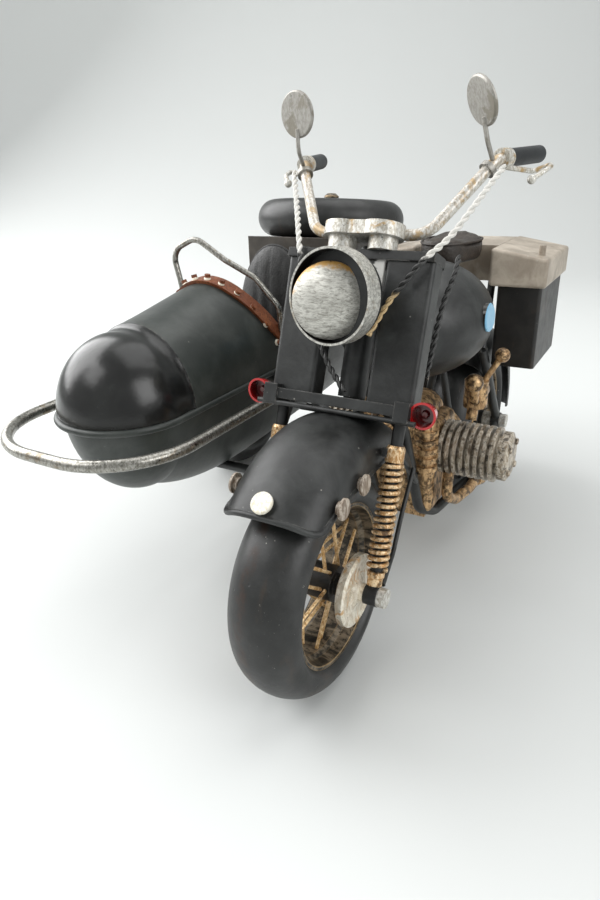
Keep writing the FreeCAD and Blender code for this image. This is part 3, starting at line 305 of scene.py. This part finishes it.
def leather(name, dark, light):
    """Leather with a fine pebble grain and rubbed lighter patches."""
    hide = Finish(name)
    rub = hide.between(hide.noise(6, seed=31, detail=5), 0.38, 0.68)
    base = hide.blend(rub, dark, light)
    crease = hide.between(hide.noise(1.4, seed=32, detail=6, warp=1.2), 0.40, 0.52)
    base = hide.blend(hide.times(crease, 0.3), tuple(c * 0.4 for c in dark), base)
    hide.colour(base)
    hide.rough_range(hide.noise(2, seed=33), 0.38, 0.62)
    hide.bump((hide.cells(0.9, seed=34), 0.10), (hide.noise(2.5, seed=35, detail=4), 0.12))
    return hide.material


def cable_wire():
    """Twisted wire: white above, black in the middle, gilt beside the lamp and black again below."""
    wire = Finish("cable_wire", roughness=0.4)
    height = wire.plus(wire.axis("Z"), wire.times(wire.noise(2, seed=51), 0.003))
    white = wire.blend(wire.noise(1.2, seed=52), (0.50, 0.48, 0.44), (0.84, 0.83, 0.79))
    gilt = wire.blend(wire.noise(1.5, seed=53), (0.36, 0.22, 0.08), (0.80, 0.62, 0.36))
    black = wire.blend(wire.noise(1.5, seed=55), (0.008, 0.008, 0.008), (0.04, 0.04, 0.038))
    in_front = wire.between(wire.axis("Y"), at(0, 34, 0).y, at(0, 32.5, 0).y)
    below_lamp_top = wire.between(height, 0.1405, 0.1385)
    above_lamp_foot = wire.between(height, 0.1245, 0.1265)
    gilded = wire.times(below_lamp_top, above_lamp_foot)
    base = wire.blend(wire.times(gilded, in_front), black, gilt)
    base = wire.blend(wire.between(height, 0.1500, 0.1515), base, white)
    wire.colour(base)
    wire.bump((wire.noise(0.8, seed=54), 0.03))
    return wire.material


def lamp_cup():
    """Red lacquer that gets darker towards the bottom of the cup, where shade is painted into the colour."""
    cup = Finish("lamp_cup", coat=0.6, roughness=0.18)
    glow = cup.blend(cup.noise(2, seed=45), (0.36, 0.004, 0.006), (0.60, 0.012, 0.014))
    painted_shade_red = cup.blend(cup.noise(1.5, seed=46), (0.035, 0.003, 0.003), (0.14, 0.006, 0.007))
    upward = cup.maths("SUBTRACT", cup.axis("Z"), MARKER_LAMP_Z * MM)
    sideways = cup.maths("SUBTRACT", cup.off(cup.axis("X"), DATUM.x), MARKER_LAMP_X * MM)
    square = cup.plus(cup.times(upward, upward), cup.times(sideways, sideways))
    radius = cup.maths("SQRT", square)
    # Painted shade: the middle of the cup, near its axis, is given a much darker red.
    painted_shade_inside = cup.between(radius, 3.9 * MM, 3.5 * MM)
    cup.colour(cup.blend(painted_shade_inside, glow, painted_shade_red))
    cup.bump((cup.noise(1.5, seed=44, detail=3), 0.04))
    return cup.material


def lamp_ring():
    """Thin silvered band whose inner face is darkened to near black with painted shade."""
    ring = Finish("lamp_ring", metallic=0.6, roughness=0.4)
    strokes = ring.noise(0.9, seed=71, detail=5, warp=0.6)
    silver = ring.blend(ring.between(strokes, 0.36, 0.62), (0.34, 0.33, 0.30), (0.66, 0.65, 0.60))
    rust = ring.between(ring.noise(6, seed=72, detail=5), 0.58, 0.70)
    silver = ring.blend(ring.times(rust, 0.6), silver, (0.26, 0.20, 0.12))
    # Painted shade: points near the lamp's axis, on the band's inner face, are coloured near black.
    away = ring.vector("SUBTRACT", ring.place, LAMP_CENTRE)
    off_axis = ring.vector("CROSS_PRODUCT", away.outputs[0], LAMP_AXIS)
    length = ring.vector("LENGTH", off_axis.outputs[0], None)
    painted_shade_inside = ring.between(length.outputs["Value"], 14.55 * MM, 14.4 * MM)
    ring.colour(ring.blend(painted_shade_inside, silver, (0.012, 0.011, 0.010)))
    ring.bump((strokes, 0.05), (ring.noise(3, seed=73), 0.12))
    return ring.material


def lamp_glass():
    """Silvered lens with fine scratches across it and golden rust round the upper edge."""
    lens = Finish("lamp_glass", metallic=0.35, roughness=0.38)
    scratch = lens.noise(1.0, seed=81, detail=6, rough=0.75, stretch=(0.35, 1, 1.6), warp=0.6)
    base = lens.blend(lens.between(scratch, 0.34, 0.60), (0.24, 0.23, 0.20), (0.66, 0.65, 0.60))
    middle = lens.between(lens.noise(6, seed=82, detail=4), 0.40, 0.66)
    base = lens.blend(lens.times(middle, 0.35), base, (0.30, 0.29, 0.26))
    away = lens.vector("DISTANCE", lens.place, LAMP_CENTRE + Vector((0, 0, -5.0)) * MM)
    wobble = lens.times(lens.noise(2.5, seed=83, detail=5), 0.006)
    ragged = lens.plus(away.outputs["Value"], wobble)
    gold = lens.between(ragged, 16.2 * MM, 18.2 * MM)
    base = lens.blend(gold, base, (0.52, 0.30, 0.09))
    base = lens.blend(lens.between(ragged, 18.6 * MM, 20 * MM), base, (0.06, 0.035, 0.015))
    fine = lens.between(lens.noise(0.45, seed=84, detail=3, stretch=(0.25, 1, 1.4)), 0.63, 0.72)
    base = lens.blend(lens.times(fine, 0.6), base, (0.05, 0.045, 0.04))
    lens.colour(base)
    lens.bump((scratch, 0.04), (lens.noise(2, seed=85), 0.06))
    return lens.material


def stud_paint():
    """Cream domes; the ones on the sides are streaked grey and tan."""
    stud = Finish("stud_paint", roughness=0.42)
    streak = stud.noise(0.9, seed=61, detail=5, stretch=(1, 1, 0.3), warp=0.4)
    cream = stud.blend(stud.between(streak, 0.35, 0.6), (0.66, 0.60, 0.46), (0.88, 0.85, 0.76))
    tan = stud.blend(stud.between(streak, 0.38, 0.62), (0.16, 0.115, 0.08), (0.46, 0.40, 0.33))
    sideways = stud.off(stud.axis("X"), DATUM.x)
    base = stud.blend(stud.between(sideways, 13 * MM, 14 * MM), cream, tan)
    speck = stud.between(stud.noise(0.6, seed=62, detail=3), 0.66, 0.72)
    stud.colour(stud.blend(stud.times(speck, 0.7), base, (0.12, 0.08, 0.04)))
    stud.bump((streak, 0.05), (stud.noise(1.5, seed=63), 0.08))
    return stud.material


def badge_enamel():
    """Blue face on a dark-sided disc."""
    badge = Finish("badge_enamel", coat=0.4, roughness=0.25)
    blue = badge.blend(badge.noise(3, seed=47, detail=4), (0.12, 0.36, 0.58), (0.26, 0.52, 0.70))
    sideways = badge.off(badge.axis("X"), DATUM.x)
    face = badge.between(sideways, 31.5 * MM, 31.75 * MM)
    badge.colour(badge.blend(face, (0.02, 0.018, 0.015), blue))
    badge.bump((badge.noise(1.5, seed=48), 0.03))
    return badge.material


def yoke_paint():
    """Black tin with a dab of old white paint on the flange's front edge."""
    material = painted_tin("yoke_paint", BLACK, (0.030, 0.031, 0.030))
    paint = Finish.over(material)
    ragged = paint.times(paint.noise(1.6, seed=91, detail=4), 0.006)
    across = paint.off(paint.axis("X"), at(12.0, 0, 0).x)
    dab = paint.between(paint.plus(across, ragged), 9.6 * MM, 8.2 * MM)
    top = paint.between(paint.axis("Z"), 0.1478, 0.1470)
    front = paint.between(paint.axis("Y"), at(0, 40, 0).y, at(0, 39, 0).y)
    dab = paint.times(paint.times(dab, top), front)
    paint.over_colour(dab, (0.62, 0.61, 0.58))
    return material


BLACK = (0.0075, 0.008, 0.0078)
MARKER_LAMP_X = 31.0
MARKER_LAMP_Z = 102.4
LAMP_CENTRE = at(0, 13.3, 138.7)
LAMP_TURN = math.radians(7)
LAMP_TILT = math.radians(8)
LAMP_AXIS = Vector((-math.sin(LAMP_TURN), -math.cos(LAMP_TURN), math.sin(LAMP_TILT))).normalized()

FINISHES = {
    # The lids' brown tin is partly its real brown and partly painted sheen: its colour is raised to match their
    # lit tops.
    "brown_tin": painted_tin(
        "brown_tin", (0.28, 0.235, 0.185), (0.52, 0.455, 0.375),
        roughness=(0.36, 0.52), wear=(0.42, 0.35, 0.27), brown=0.5),
    "black_tin": painted_tin("black_tin", BLACK, (0.036, 0.038, 0.037), roughness=(0.33, 0.50)),
    "gloss_black": painted_tin(
        "gloss_black", (0.006, 0.006, 0.006), (0.016, 0.017, 0.016), roughness=(0.16, 0.28), flecks=0.5),
    "dark_grey_tin": painted_tin(
        "dark_grey_tin", (0.022, 0.027, 0.024), (0.050, 0.056, 0.051), roughness=(0.32, 0.46), flecks=0.6),
    "black_hub": painted_tin("black_hub", BLACK, (0.03, 0.026, 0.02), brown=0.6),
    "tyre": tyre_rubber("tyre_rubber"),
    "copper": worn_metal(
        "gilt_spokes", (0.88, 0.66, 0.38), (0.50, 0.28, 0.10), (0.36, 0.19, 0.07),
        rust_amount=0.2, specks=0.5, wash=0.0, metallic=0.35),
    "spring_copper": worn_metal(
        "spring_copper", (0.84, 0.64, 0.40), (0.44, 0.23, 0.08), (0.10, 0.06, 0.035),
        rust_amount=0.35, specks=0.8, metallic=0.55),
    "bronze": worn_metal(
        "bronze", (0.68, 0.45, 0.23), (0.30, 0.175, 0.08), (0.05, 0.034, 0.022),
        rust_amount=0.55, specks=0.7, wash=0.5, brush=(1, 1, 0.3), grain_mm=1.4, metallic=0.45),
    "fin_metal": worn_metal(
        "fin_metal", (0.62, 0.56, 0.47), (0.30, 0.24, 0.17), (0.10, 0.07, 0.045),
        rust_amount=0.5, specks=0.8, wash=0.4, grain_mm=1.1, metallic=0.35),
    "old_silver": worn_metal(
        "old_silver", (0.72, 0.71, 0.67), (0.42, 0.39, 0.33), (0.46, 0.30, 0.12),
        rust_amount=0.35, specks=0.8, wash=0.15, metallic=0.45),
    "lamp_band": lamp_ring(),
    "mirror_metal": worn_metal(
        "mirror_metal", (0.40, 0.385, 0.355), (0.31, 0.295, 0.27), (0.24, 0.22, 0.18),
        rust_amount=0.4, specks=0.2, wash=0.0, roughness=(0.4, 0.55)),
    "bumper_nickel": worn_metal(
        "bumper_nickel", (0.40, 0.39, 0.36), (0.21, 0.20, 0.175), (0.20, 0.16, 0.11),
        rust_amount=0.35, specks=0.6, wash=0.2, roughness=(0.18, 0.4), metallic=0.9),
    "cable": cable_wire(),
    "grip_rubber": painted_tin(
        "grip_rubber", (0.008, 0.010, 0.012), (0.022, 0.026, 0.028), roughness=(0.45, 0.6)),
    "red_enamel": lamp_cup(),
    "cream_metal": worn_metal(
        "cream_metal", (0.88, 0.83, 0.70), (0.70, 0.63, 0.50), (0.45, 0.34, 0.22),
        rust_amount=0.25, specks=0.5, wash=0.0, metallic=0.15),
    "badge_blue": badge_enamel(),
    "tan_leather": leather("tan_leather", (0.34, 0.095, 0.032), (0.66, 0.24, 0.09)),
    "seat_leather": leather("seat_leather", (0.016, 0.0155, 0.015), (0.050, 0.048, 0.045)),
    "box_black": painted_tin("box_black", (0.006, 0.006, 0.0055), (0.020, 0.018, 0.016), brown=0.4),
}
# Nodes whose finish differs from the others in their slot.
OWN_FINISH = {
    "front_tyre": tyre_rubber("front_tyre_rubber", streak_x=at(-1.5, 0, 0).x),
    "headlight_lens": lamp_glass(),
    "upper_yoke": yoke_paint(),
    # Painted shade: the trunk gets a much darker copy of the brown tin, standing in for the shadow it sits in.
    "luggage_trunk": painted_tin(
        "trunk_tin_painted_shade", (0.036, 0.030, 0.024), (0.075, 0.064, 0.052), wear=(0.25, 0.2, 0.15), brown=0.5),
    "handlebar": worn_metal(
        "bar_silver", (0.70, 0.68, 0.64), (0.42, 0.37, 0.30), (0.46, 0.32, 0.16),
        rust_amount=0.6, specks=0.6, wash=0.0, metallic=0.45),
    "brake_plate": worn_metal(
        "brake_plate_metal", (0.84, 0.79, 0.68), (0.60, 0.52, 0.40), (0.56, 0.32, 0.12),
        rust_amount=0.6, specks=0.7, wash=0.1, grain_mm=1.4, metallic=0.4),
    "fender_studs": stud_paint(),
}
for rim_node in ("front_rim", "rear_rim", "sidecar_rim", "spare_rim"):
    OWN_FINISH[rim_node] = worn_metal(
        "blackened_" + rim_node, (0.25, 0.20, 0.14), (0.032, 0.028, 0.022), (0.010, 0.010, 0.009),
        rust_amount=0.6, specks=0.5, wash=0.3, brush=(0.4, 1, 1), grain_mm=3.2, metallic=0.5,
        edge=(0.50, 0.33, 0.15))


def dress_nodes():
    """Give every CAD node its own finish, or else that of its slot."""
    for part in frame["record"]["subparts"]:
        mesh = NODES[part["node"]].data
        mesh.materials.clear()
        mesh.materials.append(OWN_FINISH.get(part["node"]) or FINISHES[part["material_slot"]])


# ---------------------------------------------------------------- added pieces

def piece(name, body, slot, points, faces, finish=None, smooth=True, replaced=()):
    """New mesh from points in millimetres, riding on a body and standing for the nodes it replaces."""
    mesh = bpy.data.meshes.new(name)
    mesh.from_pydata([at(*point) for point in points], [], faces)
    mesh.materials.append(finish or FINISHES[slot])
    made = bpy.data.objects.new(name, mesh)
    bpy.context.scene.collection.objects.link(made)
    for face in mesh.polygons:
        face.use_smooth = smooth
    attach(made, body)
    if replaced:
        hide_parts(*replaced)
    return made


def grid_faces(rings, across):
    """Quads of rings that close on themselves, joined ring to ring."""
    faces = []
    for ring in range(rings - 1):
        low, high = ring * across, (ring + 1) * across
        for step in range(across):
            following = (step + 1) % across
            faces.append((low + step, low + following, high + following, high + step))
    return faces


def end_faces(rings, across):
    """Two faces that close the first and the last ring."""
    last = (rings - 1) * across
    return [tuple(reversed(range(across))), tuple(range(last, last + across))]


def circle(radius, sides):
    """Sideways and upward steps of the points round a circle."""
    turns = [2 * math.pi * step / sides for step in range(sides)]
    return [(radius * math.cos(turn), radius * math.sin(turn)) for turn in turns]


def smooth_path(points):
    """Smooth curve through the run of given points, in millimetres."""
    curve = bpy.data.curves.new("route", "CURVE")
    curve.dimensions = "3D"
    curve.resolution_u = 24
    spline = curve.splines.new("NURBS")
    spline.points.add(len(points) - 1)
    for place, point in zip(spline.points, points):
        place.co = (*point, 1)
    spline.order_u = 3
    spline.use_endpoint_u = True
    holder = bpy.data.objects.new("route", curve)
    bpy.context.scene.collection.objects.link(holder)
    mesh = bpy.data.meshes.new_from_object(holder)
    path = [vertex.co.copy() for vertex in mesh.vertices]
    bpy.data.objects.remove(holder)
    bpy.data.meshes.remove(mesh)
    return path


def evenly(path, spacing):
    """The same path with points at an even spacing."""
    out, carried = [path[0].copy()], 0.0
    for start, end in zip(path, path[1:]):
        run = (end - start).length
        travelled = spacing - carried
        while travelled <= run:
            out.append(start.lerp(end, travelled / run))
            travelled += spacing
        carried = run - (travelled - spacing)
    return out


def frames_along(path, closed=False):
    """Point, side and up vectors along a path, without twist."""
    out, side = [], None
    count = len(path)
    for index, point in enumerate(path):
        ahead = path[(index + 1) % count] if closed else path[min(index + 1, count - 1)]
        behind = path[index - 1] if closed or index else path[0]
        along = (ahead - behind).normalized()
        side = along.orthogonal() if side is None else side
        side = (side - along * side.dot(along)).normalized()
        out.append((point, side, along.cross(side)))
    return out


def tube(path, radius, sides=10, closed=False):
    """Points and faces of a round tube along a path, capped unless it is closed."""
    points = []
    for point, side, up in frames_along(path, closed):
        points += [point + side * a + up * b for a, b in circle(radius, sides)]
    faces = grid_faces(len(path), sides)
    if closed:
        last = (len(path) - 1) * sides
        for step in range(sides):
            following = (step + 1) % sides
            faces.append((last + step, last + following, following, step))
    else:
        faces += end_faces(len(path), sides)
    return points, faces


CABLE_ROUTES = {
    "left_cable": [(39.0, 62.0, 173.8), (35.5, 48.0, 164.8), (30.0, 38.6, 154.0), (24.2, 31.2, 148.6),
                   (19.0, 29.4, 141.4), (14.9, 28.0, 136.4), (11.7, 27.2, 130.8), (8.6, 25.0, 124.6)],
    "right_cable": [(-39.0, 62.0, 173.8), (-28.4, 45.0, 162.0), (-20.4, 32.0, 150.0), (-17.0, 27.6, 139.0),
                    (-12.2, 25.8, 127.5), (-6.0, 22.0, 114.6), (3.2, 18.2, 106.6)],
    "back_cable": [(26.6, 60.0, 145.6), (28.2, 53.6, 141.4), (26.8, 48.4, 135.4), (26.2, 43.4, 127.4),
                   (26.0, 39.8, 119.0), (25.2, 36.0, 109.0)],
}
STRAND_R = 0.56
STRAND_OFF = STRAND_R * 0.92   # the two strands press into each other a little
TWIST_MM = 6.4
CABLE_STEP_MM = 0.4


def twisted_cables():
    """Two wires twisted together along each cable's route."""
    for name, route in CABLE_ROUTES.items():
        path = evenly(smooth_path(route), CABLE_STEP_MM)
        frames = frames_along(path)
        for strand in range(2):
            helix = []
            for index, (point, side, up) in enumerate(frames):
                turn = 2 * math.pi * index * CABLE_STEP_MM / TWIST_MM + math.pi * strand
                helix.append(point + (side * math.cos(turn) + up * math.sin(turn)) * STRAND_OFF)
            points, faces = tube(helix, STRAND_R)
            strand_name = f"{name}_strand_{strand + 1}"
            piece(strand_name, "steering", "cable", points, faces, replaced=["control_cables"])


def rounded_outline(corners, steps=12):
    """Closed smooth curve that passes near the corners."""
    out, count = [], len(corners)
    for index in range(count):
        before, here, after = (Vector(corners[(index + shift) % count]) for shift in (-1, 0, 1))
        start, end = (before + here) / 2, (here + after) / 2
        for step in range(steps):
            part = step / steps
            out.append(start.lerp(here, part).lerp(here.lerp(end, part), part))
    return out


SADDLE_OUTLINE = [(-5.5, 114.8), (5.5, 114.8), (10.6, 124), (13.4, 138), (10.5, 149.6),
                  (-10.5, 149.6), (-13.4, 138), (-10.6, 124)]
SADDLE_MIDDLE = Vector((0, 133))
SADDLE_LOW, SADDLE_HIGH = 134.2, 145.4
# Each ring of the saddle is its outline at a scale, lifted from the base or sunk below the top.
SADDLE_SIDE = [(0.02, 0), (0.6, 0), (0.90, 0), (0.965, 0.9), (1.0, 3.0), (1.01, 5.6), (0.995, 7.6)]
SADDLE_CROWN = [(0.975, 1.1), (0.93, 0.35), (0.86, 0.08), (0.76, 0), (0.64, 0), (0.50, 0), (0.36, 0),
                (0.2, 0), (0.02, 0)]


def saddle_top(x, y):
    """Height of the saddle's top: a nose in front, a dip for the rider and a raised back."""
    dip = 1.5 * math.exp(-((y - 131) / 9.0) ** 2)
    seam = 0.45 * math.exp(-((abs(x) - 4.6) / 0.7) ** 2)
    fold = 0.5 * noise.noise(Vector((x * 0.25, y * 0.16, 2.0)))
    nose = 0.8 * max(0, (120 - y) / 6)
    return SADDLE_HIGH - dip - 0.018 * x * x - seam + fold - nose


def leather_saddle():
    """Stuffed saddle with two seams along it, a welted edge and gathered sides."""
    edge = rounded_outline(SADDLE_OUTLINE)
    rings = []
    for scale, lift in SADDLE_SIDE:
        ring = []
        for index, spot in enumerate(edge):
            gather = 0.22 * math.sin(index * 1.7) * noise.noise(Vector((index * 0.4, lift, 0)))
            place = SADDLE_MIDDLE + (spot - SADDLE_MIDDLE) * (scale + gather * 0.05)
            ring.append(Vector((place.x, place.y, SADDLE_LOW + lift)))
        rings.append(ring)
    for scale, sink in SADDLE_CROWN:
        ring = []
        for spot in edge:
            place = SADDLE_MIDDLE + (spot - SADDLE_MIDDLE) * scale
            ring.append(Vector((place.x, place.y, saddle_top(place.x, place.y) - sink)))
        rings.append(ring)
    points = [point for ring in rings for point in ring]
    faces = grid_faces(len(rings), len(edge)) + end_faces(len(rings), len(edge))
    hide = leather("saddle_leather", (0.045, 0.032, 0.024), (0.13, 0.098, 0.072))
    seat = piece("saddle_pad", "chassis", "seat_leather", points, faces, finish=hide, replaced=["saddle"])
    welt = [Vector((spot.x, spot.y, SADDLE_HIGH - 3.0)) for spot in edge]
    points, faces = tube(welt, 0.55, 8, closed=True)
    piece("saddle_welt", "chassis", "seat_leather", points, faces, finish=hide)


def fluted(value, pitch, depth, width):
    """Depth of the groove between two stuffed channels."""
    off = abs((value / pitch) - round(value / pitch)) * pitch
    return depth * math.exp(-(off / width) ** 2)


CUSHION_HALF_X, CUSHION_HALF_Y = 19.6, 16.2
CUSHION_Y = 100.5
CUSHION_LOW, CUSHION_HIGH = 66.3, 77.4
CUSHION_CROWN = 1.6
CUSHION_SIDE = [(0.02, 0), (0.7, 0), (0.95, 0), (1, 1.6), (1.0, 5), (0.995, 7.4), (0.975, 9)]
CUSHION_TOP = [0.955, 0.92, 0.86, 0.78, 0.68, 0.56, 0.42, 0.26, 0.02]


def cushion_edge():
    """Rectangle with well-rounded corners, as points round the middle of the cushion."""
    corners = [(-1, -1), (1, -1), (1, 1), (-1, 1)]
    edge = []
    for index in range(4):
        start = Vector((corners[index][0] * CUSHION_HALF_X, corners[index][1] * CUSHION_HALF_Y))
        following = corners[(index + 1) % 4]
        end = Vector((following[0] * CUSHION_HALF_X, following[1] * CUSHION_HALF_Y))
        for step in range(24):
            spot = start.lerp(end, step / 24)
            part_x, part_y = abs(spot.x) / CUSHION_HALF_X, abs(spot.y) / CUSHION_HALF_Y
            squeeze = (part_x ** 5 + part_y ** 5) ** (1 / 5)
            edge.append(spot * (max(part_x, part_y) / squeeze))
    return edge


def passenger_cushion():
    """Crowned seat cushion with stuffed channels from front to back."""
    edge = cushion_edge()
    rings = []
    for scale, lift in CUSHION_SIDE:
        rings.append([Vector((spot.x * scale, spot.y * scale, CUSHION_LOW + lift)) for spot in edge])
    for scale in CUSHION_TOP:
        ring = []
        for spot in edge:
            place = spot * scale
            crown = CUSHION_CROWN * (1 - scale ** 6) - fluted(place.x, 7.8, 1.0, 0.8)
            crown += 0.3 * noise.noise(Vector((place.x * 0.2, place.y * 0.2, 5)))
            ring.append(Vector((place.x, place.y, CUSHION_HIGH - CUSHION_CROWN + crown)))
        rings.append(ring)
    points = [(SIDECAR_X + point.x, CUSHION_Y + point.y, point.z) for ring in rings for point in ring]
    faces = grid_faces(len(rings), len(edge)) + end_faces(len(rings), len(edge))
    cushion = piece("passenger_cushion", "chassis", "seat_leather", points, faces,
                    replaced=["sidecar_seat"])


BACKREST_Y, BACKREST_Z = 126.0, 92.0
BACKREST_SEMI = Vector((23.8, 10.2, 46.6))
BACKREST_ROWS, BACKREST_ACROSS = 56, 72


def passenger_backrest():
    """Rounded backrest, cut level at the top and bottom, with stuffed channels and a welt over its top."""
    low_corner, high_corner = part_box("sidecar_seat")
    bottom, top = (low_corner.z - DATUM.z) / MM, (high_corner.z - DATUM.z) / MM
    semi = BACKREST_SEMI
    points = []
    for row in range(BACKREST_ROWS + 1):
        lean = math.pi * (0.5 / BACKREST_ROWS + row * (1 - 1 / BACKREST_ROWS) / BACKREST_ROWS)
        for step in range(BACKREST_ACROSS):
            turn = 2 * math.pi * step / BACKREST_ACROSS
            out_x, out_y = math.sin(lean) * math.cos(turn), math.sin(lean) * math.sin(turn)
            out = Vector((out_x, out_y, -math.cos(lean)))
            groove = fluted(out.x * semi.x, 7.4, 0.9, 0.75) * (0.25 + 0.75 * abs(out.y))
            soft = 0.25 * noise.noise(out * 5)
            spot = Vector((out.x * semi.x, out.y * (semi.y - groove + soft), out.z * semi.z))
            height = max(bottom + 0.2, min(top - 0.2, BACKREST_Z + spot.z))
            points.append((SIDECAR_X + spot.x, BACKREST_Y + spot.y, height))
    rings = BACKREST_ROWS + 1
    faces = grid_faces(rings, BACKREST_ACROSS) + end_faces(rings, BACKREST_ACROSS)
    back = piece("passenger_backrest", "chassis", "seat_leather", points, faces)
    welt = []
    for degrees in range(18, 163, 2):
        turn = math.radians(degrees)
        across, height = math.cos(turn) * semi.x, BACKREST_Z + math.sin(turn) * semi.z
        welt.append(Vector((SIDECAR_X + across, BACKREST_Y, height)))
    points, faces = tube(welt, 0.7, 8)
    piece("backrest_welt", "chassis", "seat_leather", points, faces)


TRIM_HALF_X, TRIM_RISE = 28.2, 40.8
TRIM_Y, TRIM_FOOT_Z, TRIM_TOP_Z = 66.2, 90.0, 130.0
TRIM_SLOPE = 0.52
RIVET_PROFILE = [(1.55, -0.2), (1.5, 0.35), (1.2, 0.8), (0.7, 1.08), (0.1, 1.18)]
RIVET_SIDES = 16
RIVET_LIFT = 0.55


def rivet_caps():
    """Cream domes over the rivets of the cockpit's trim."""
    for index, degrees in enumerate(range(24, 165, 14)):
        turn = math.radians(degrees)
        height = TRIM_FOOT_Z + TRIM_RISE * math.sin(turn)
        back = TRIM_Y + max(0, TRIM_TOP_Z - height) * TRIM_SLOPE
        base = Vector((SIDECAR_X - TRIM_HALF_X * math.cos(turn), back, height))
        out = Vector((-math.cos(turn) / TRIM_HALF_X, -0.004, math.sin(turn) / TRIM_RISE)).normalized()
        side = out.orthogonal().normalized()
        up = out.cross(side)
        points = []
        for radius, lift in RIVET_PROFILE:
            middle = base + out * (lift + RIVET_LIFT)
            points += [middle + side * a + up * b for a, b in circle(radius, RIVET_SIDES)]
        faces = grid_faces(len(RIVET_PROFILE), RIVET_SIDES)
        faces += [tuple(range(RIVET_SIDES)), tuple(range(len(points) - RIVET_SIDES, len(points)))]
        piece(f"rivet_cap_{index + 1}", "chassis", "cream_metal", points, faces)


CYLINDER_Y, CYLINDER_Z = 92.0, 60.0
BOLT_RING_R = 7.4
BOLT_PROFILE = [(43.4, 1.5), (46.0, 1.5), (46.5, 1.1)]
BOLT_SIDES = 6


def bolt_heads():
    """Hexagon bolts round the end of each cylinder head."""
    for side, label in ((1, "left"), (-1, "right")):
        for index in range(4):
            turn = math.radians(45 + 90 * index)
            y = CYLINDER_Y + BOLT_RING_R * math.cos(turn)
            z = CYLINDER_Z + BOLT_RING_R * math.sin(turn)
            points = []
            for x, radius in BOLT_PROFILE:
                points += [(side * x, y + a, z + b) for a, b in circle(radius, BOLT_SIDES)]
            faces = grid_faces(len(BOLT_PROFILE), BOLT_SIDES)
            faces += [tuple(range(BOLT_SIDES)), tuple(range(len(points) - BOLT_SIDES, len(points)))]
            name = f"head_bolt_{label}_{index + 1}"
            piece(name, "chassis", "fin_metal", points, faces, smooth=False)


# ---------------------------------------------------------------- stage, light and camera

FLOOR_END = 0.7      # metres, as are the sizes of the backdrop and the lights
WALL_BEND = 0.6
WALL_TOP = 2.4
WALL_HALF_WIDTH = 3.0


def backdrop():
    """Pale floor that curves up into a wall far behind the model."""
    profile = [(-1.6, 0.0), (-0.6, 0.0), (0.0, 0.0), (FLOOR_END, 0.0)]
    for step in range(1, 13):
        turn = math.radians(90 * step / 12)
        profile.append((FLOOR_END + WALL_BEND * math.sin(turn), WALL_BEND * (1 - math.cos(turn))))
    profile.append((FLOOR_END + WALL_BEND, WALL_TOP))
    mesh = bpy.data.meshes.new("backdrop")
    points = [(x, y, z) for x in (-WALL_HALF_WIDTH, WALL_HALF_WIDTH) for y, z in profile]
    count = len(profile)
    faces = [(row, row + 1, count + row + 1, count + row) for row in range(count - 1)]
    mesh.from_pydata(points, [], faces)
    wall = bpy.data.objects.new("backdrop", mesh)
    bpy.context.scene.collection.objects.link(wall)
    for face in mesh.polygons:
        face.use_smooth = True
    wall.rotation_euler = (0, 0, math.radians(30))
    paper = Finish("backdrop_paper", roughness=0.9)
    paper.colour(paper.blend(paper.noise(400, seed=61), (0.645, 0.66, 0.65), (0.67, 0.682, 0.677)))
    mesh.materials.append(paper.material)


def area_light(name, where, target, size, power):
    """Soft square light that faces a point."""
    data = bpy.data.lights.new(name, "AREA")
    data.size = size
    data.energy = power
    lamp = bpy.data.objects.new(name, data)
    lamp.location = where
    lamp.rotation_euler = (Vector(target) - Vector(where)).to_track_quat("-Z", "Y").to_euler()
    bpy.context.scene.collection.objects.link(lamp)


def lights():
    """High-key studio: big soft lights overhead and at both sides, and a weaker one in front."""
    centre = at(-30, 60, 80)
    area_light("top_light", centre + Vector((0.1, 0.3, 0.95)), centre, 0.9, 4.0)
    area_light("front_light", centre + Vector((-0.45, -0.66, 0.78)), centre, 0.5, 2.5)
    area_light("left_light", centre + Vector((-0.84, -0.02, 0.56)), centre, 0.95, 13.0)
    area_light("right_light", centre + Vector((0.9, -0.2, 0.5)), centre, 0.6, 4.0)
    world = bpy.data.worlds.new("studio")
    world.use_nodes = True
    sky = world.node_tree.nodes["Background"]
    sky.inputs["Color"].default_value = (0.93, 0.95, 0.94, 1)
    sky.inputs["Strength"].default_value = 0.62
    bpy.context.scene.world = world
    bpy.context.scene.view_settings.view_transform = "Standard"


CAMERA_EYE = at(94.8, -166.7, 177.7)
CAMERA_YAW, CAMERA_PITCH, CAMERA_ROLL = math.radians(30.7), math.radians(24.1), math.radians(2.1)
CAMERA_LENS_MM = 25.85


def camera():
    """Close wide-angle view from the front left, a little above the handlebar."""
    yaw, pitch, roll = CAMERA_YAW, CAMERA_PITCH, CAMERA_ROLL
    flat = math.cos(pitch)
    forward = Vector((-math.sin(yaw) * flat, math.cos(yaw) * flat, -math.sin(pitch)))
    level = Vector((math.cos(yaw), math.sin(yaw), 0))
    down = forward.cross(level)
    right = math.cos(roll) * level + math.sin(roll) * down
    lower = math.cos(roll) * down - math.sin(roll) * level
    data = bpy.data.cameras.new("camera")
    data.sensor_width = 36.0
    data.lens = CAMERA_LENS_MM
    data.clip_start = 0.01
    eye = bpy.data.objects.new("camera", data)
    turn = Matrix((right, -lower, -forward)).transposed()
    eye.matrix_world = Matrix.Translation(CAMERA_EYE) @ turn.to_4x4()
    bpy.context.scene.collection.objects.link(eye)
    bpy.context.scene.camera = eye


dress_nodes()
twisted_cables()
leather_saddle()
passenger_cushion()
passenger_backrest()
rivet_caps()
bolt_heads()
backdrop()
lights()
camera()
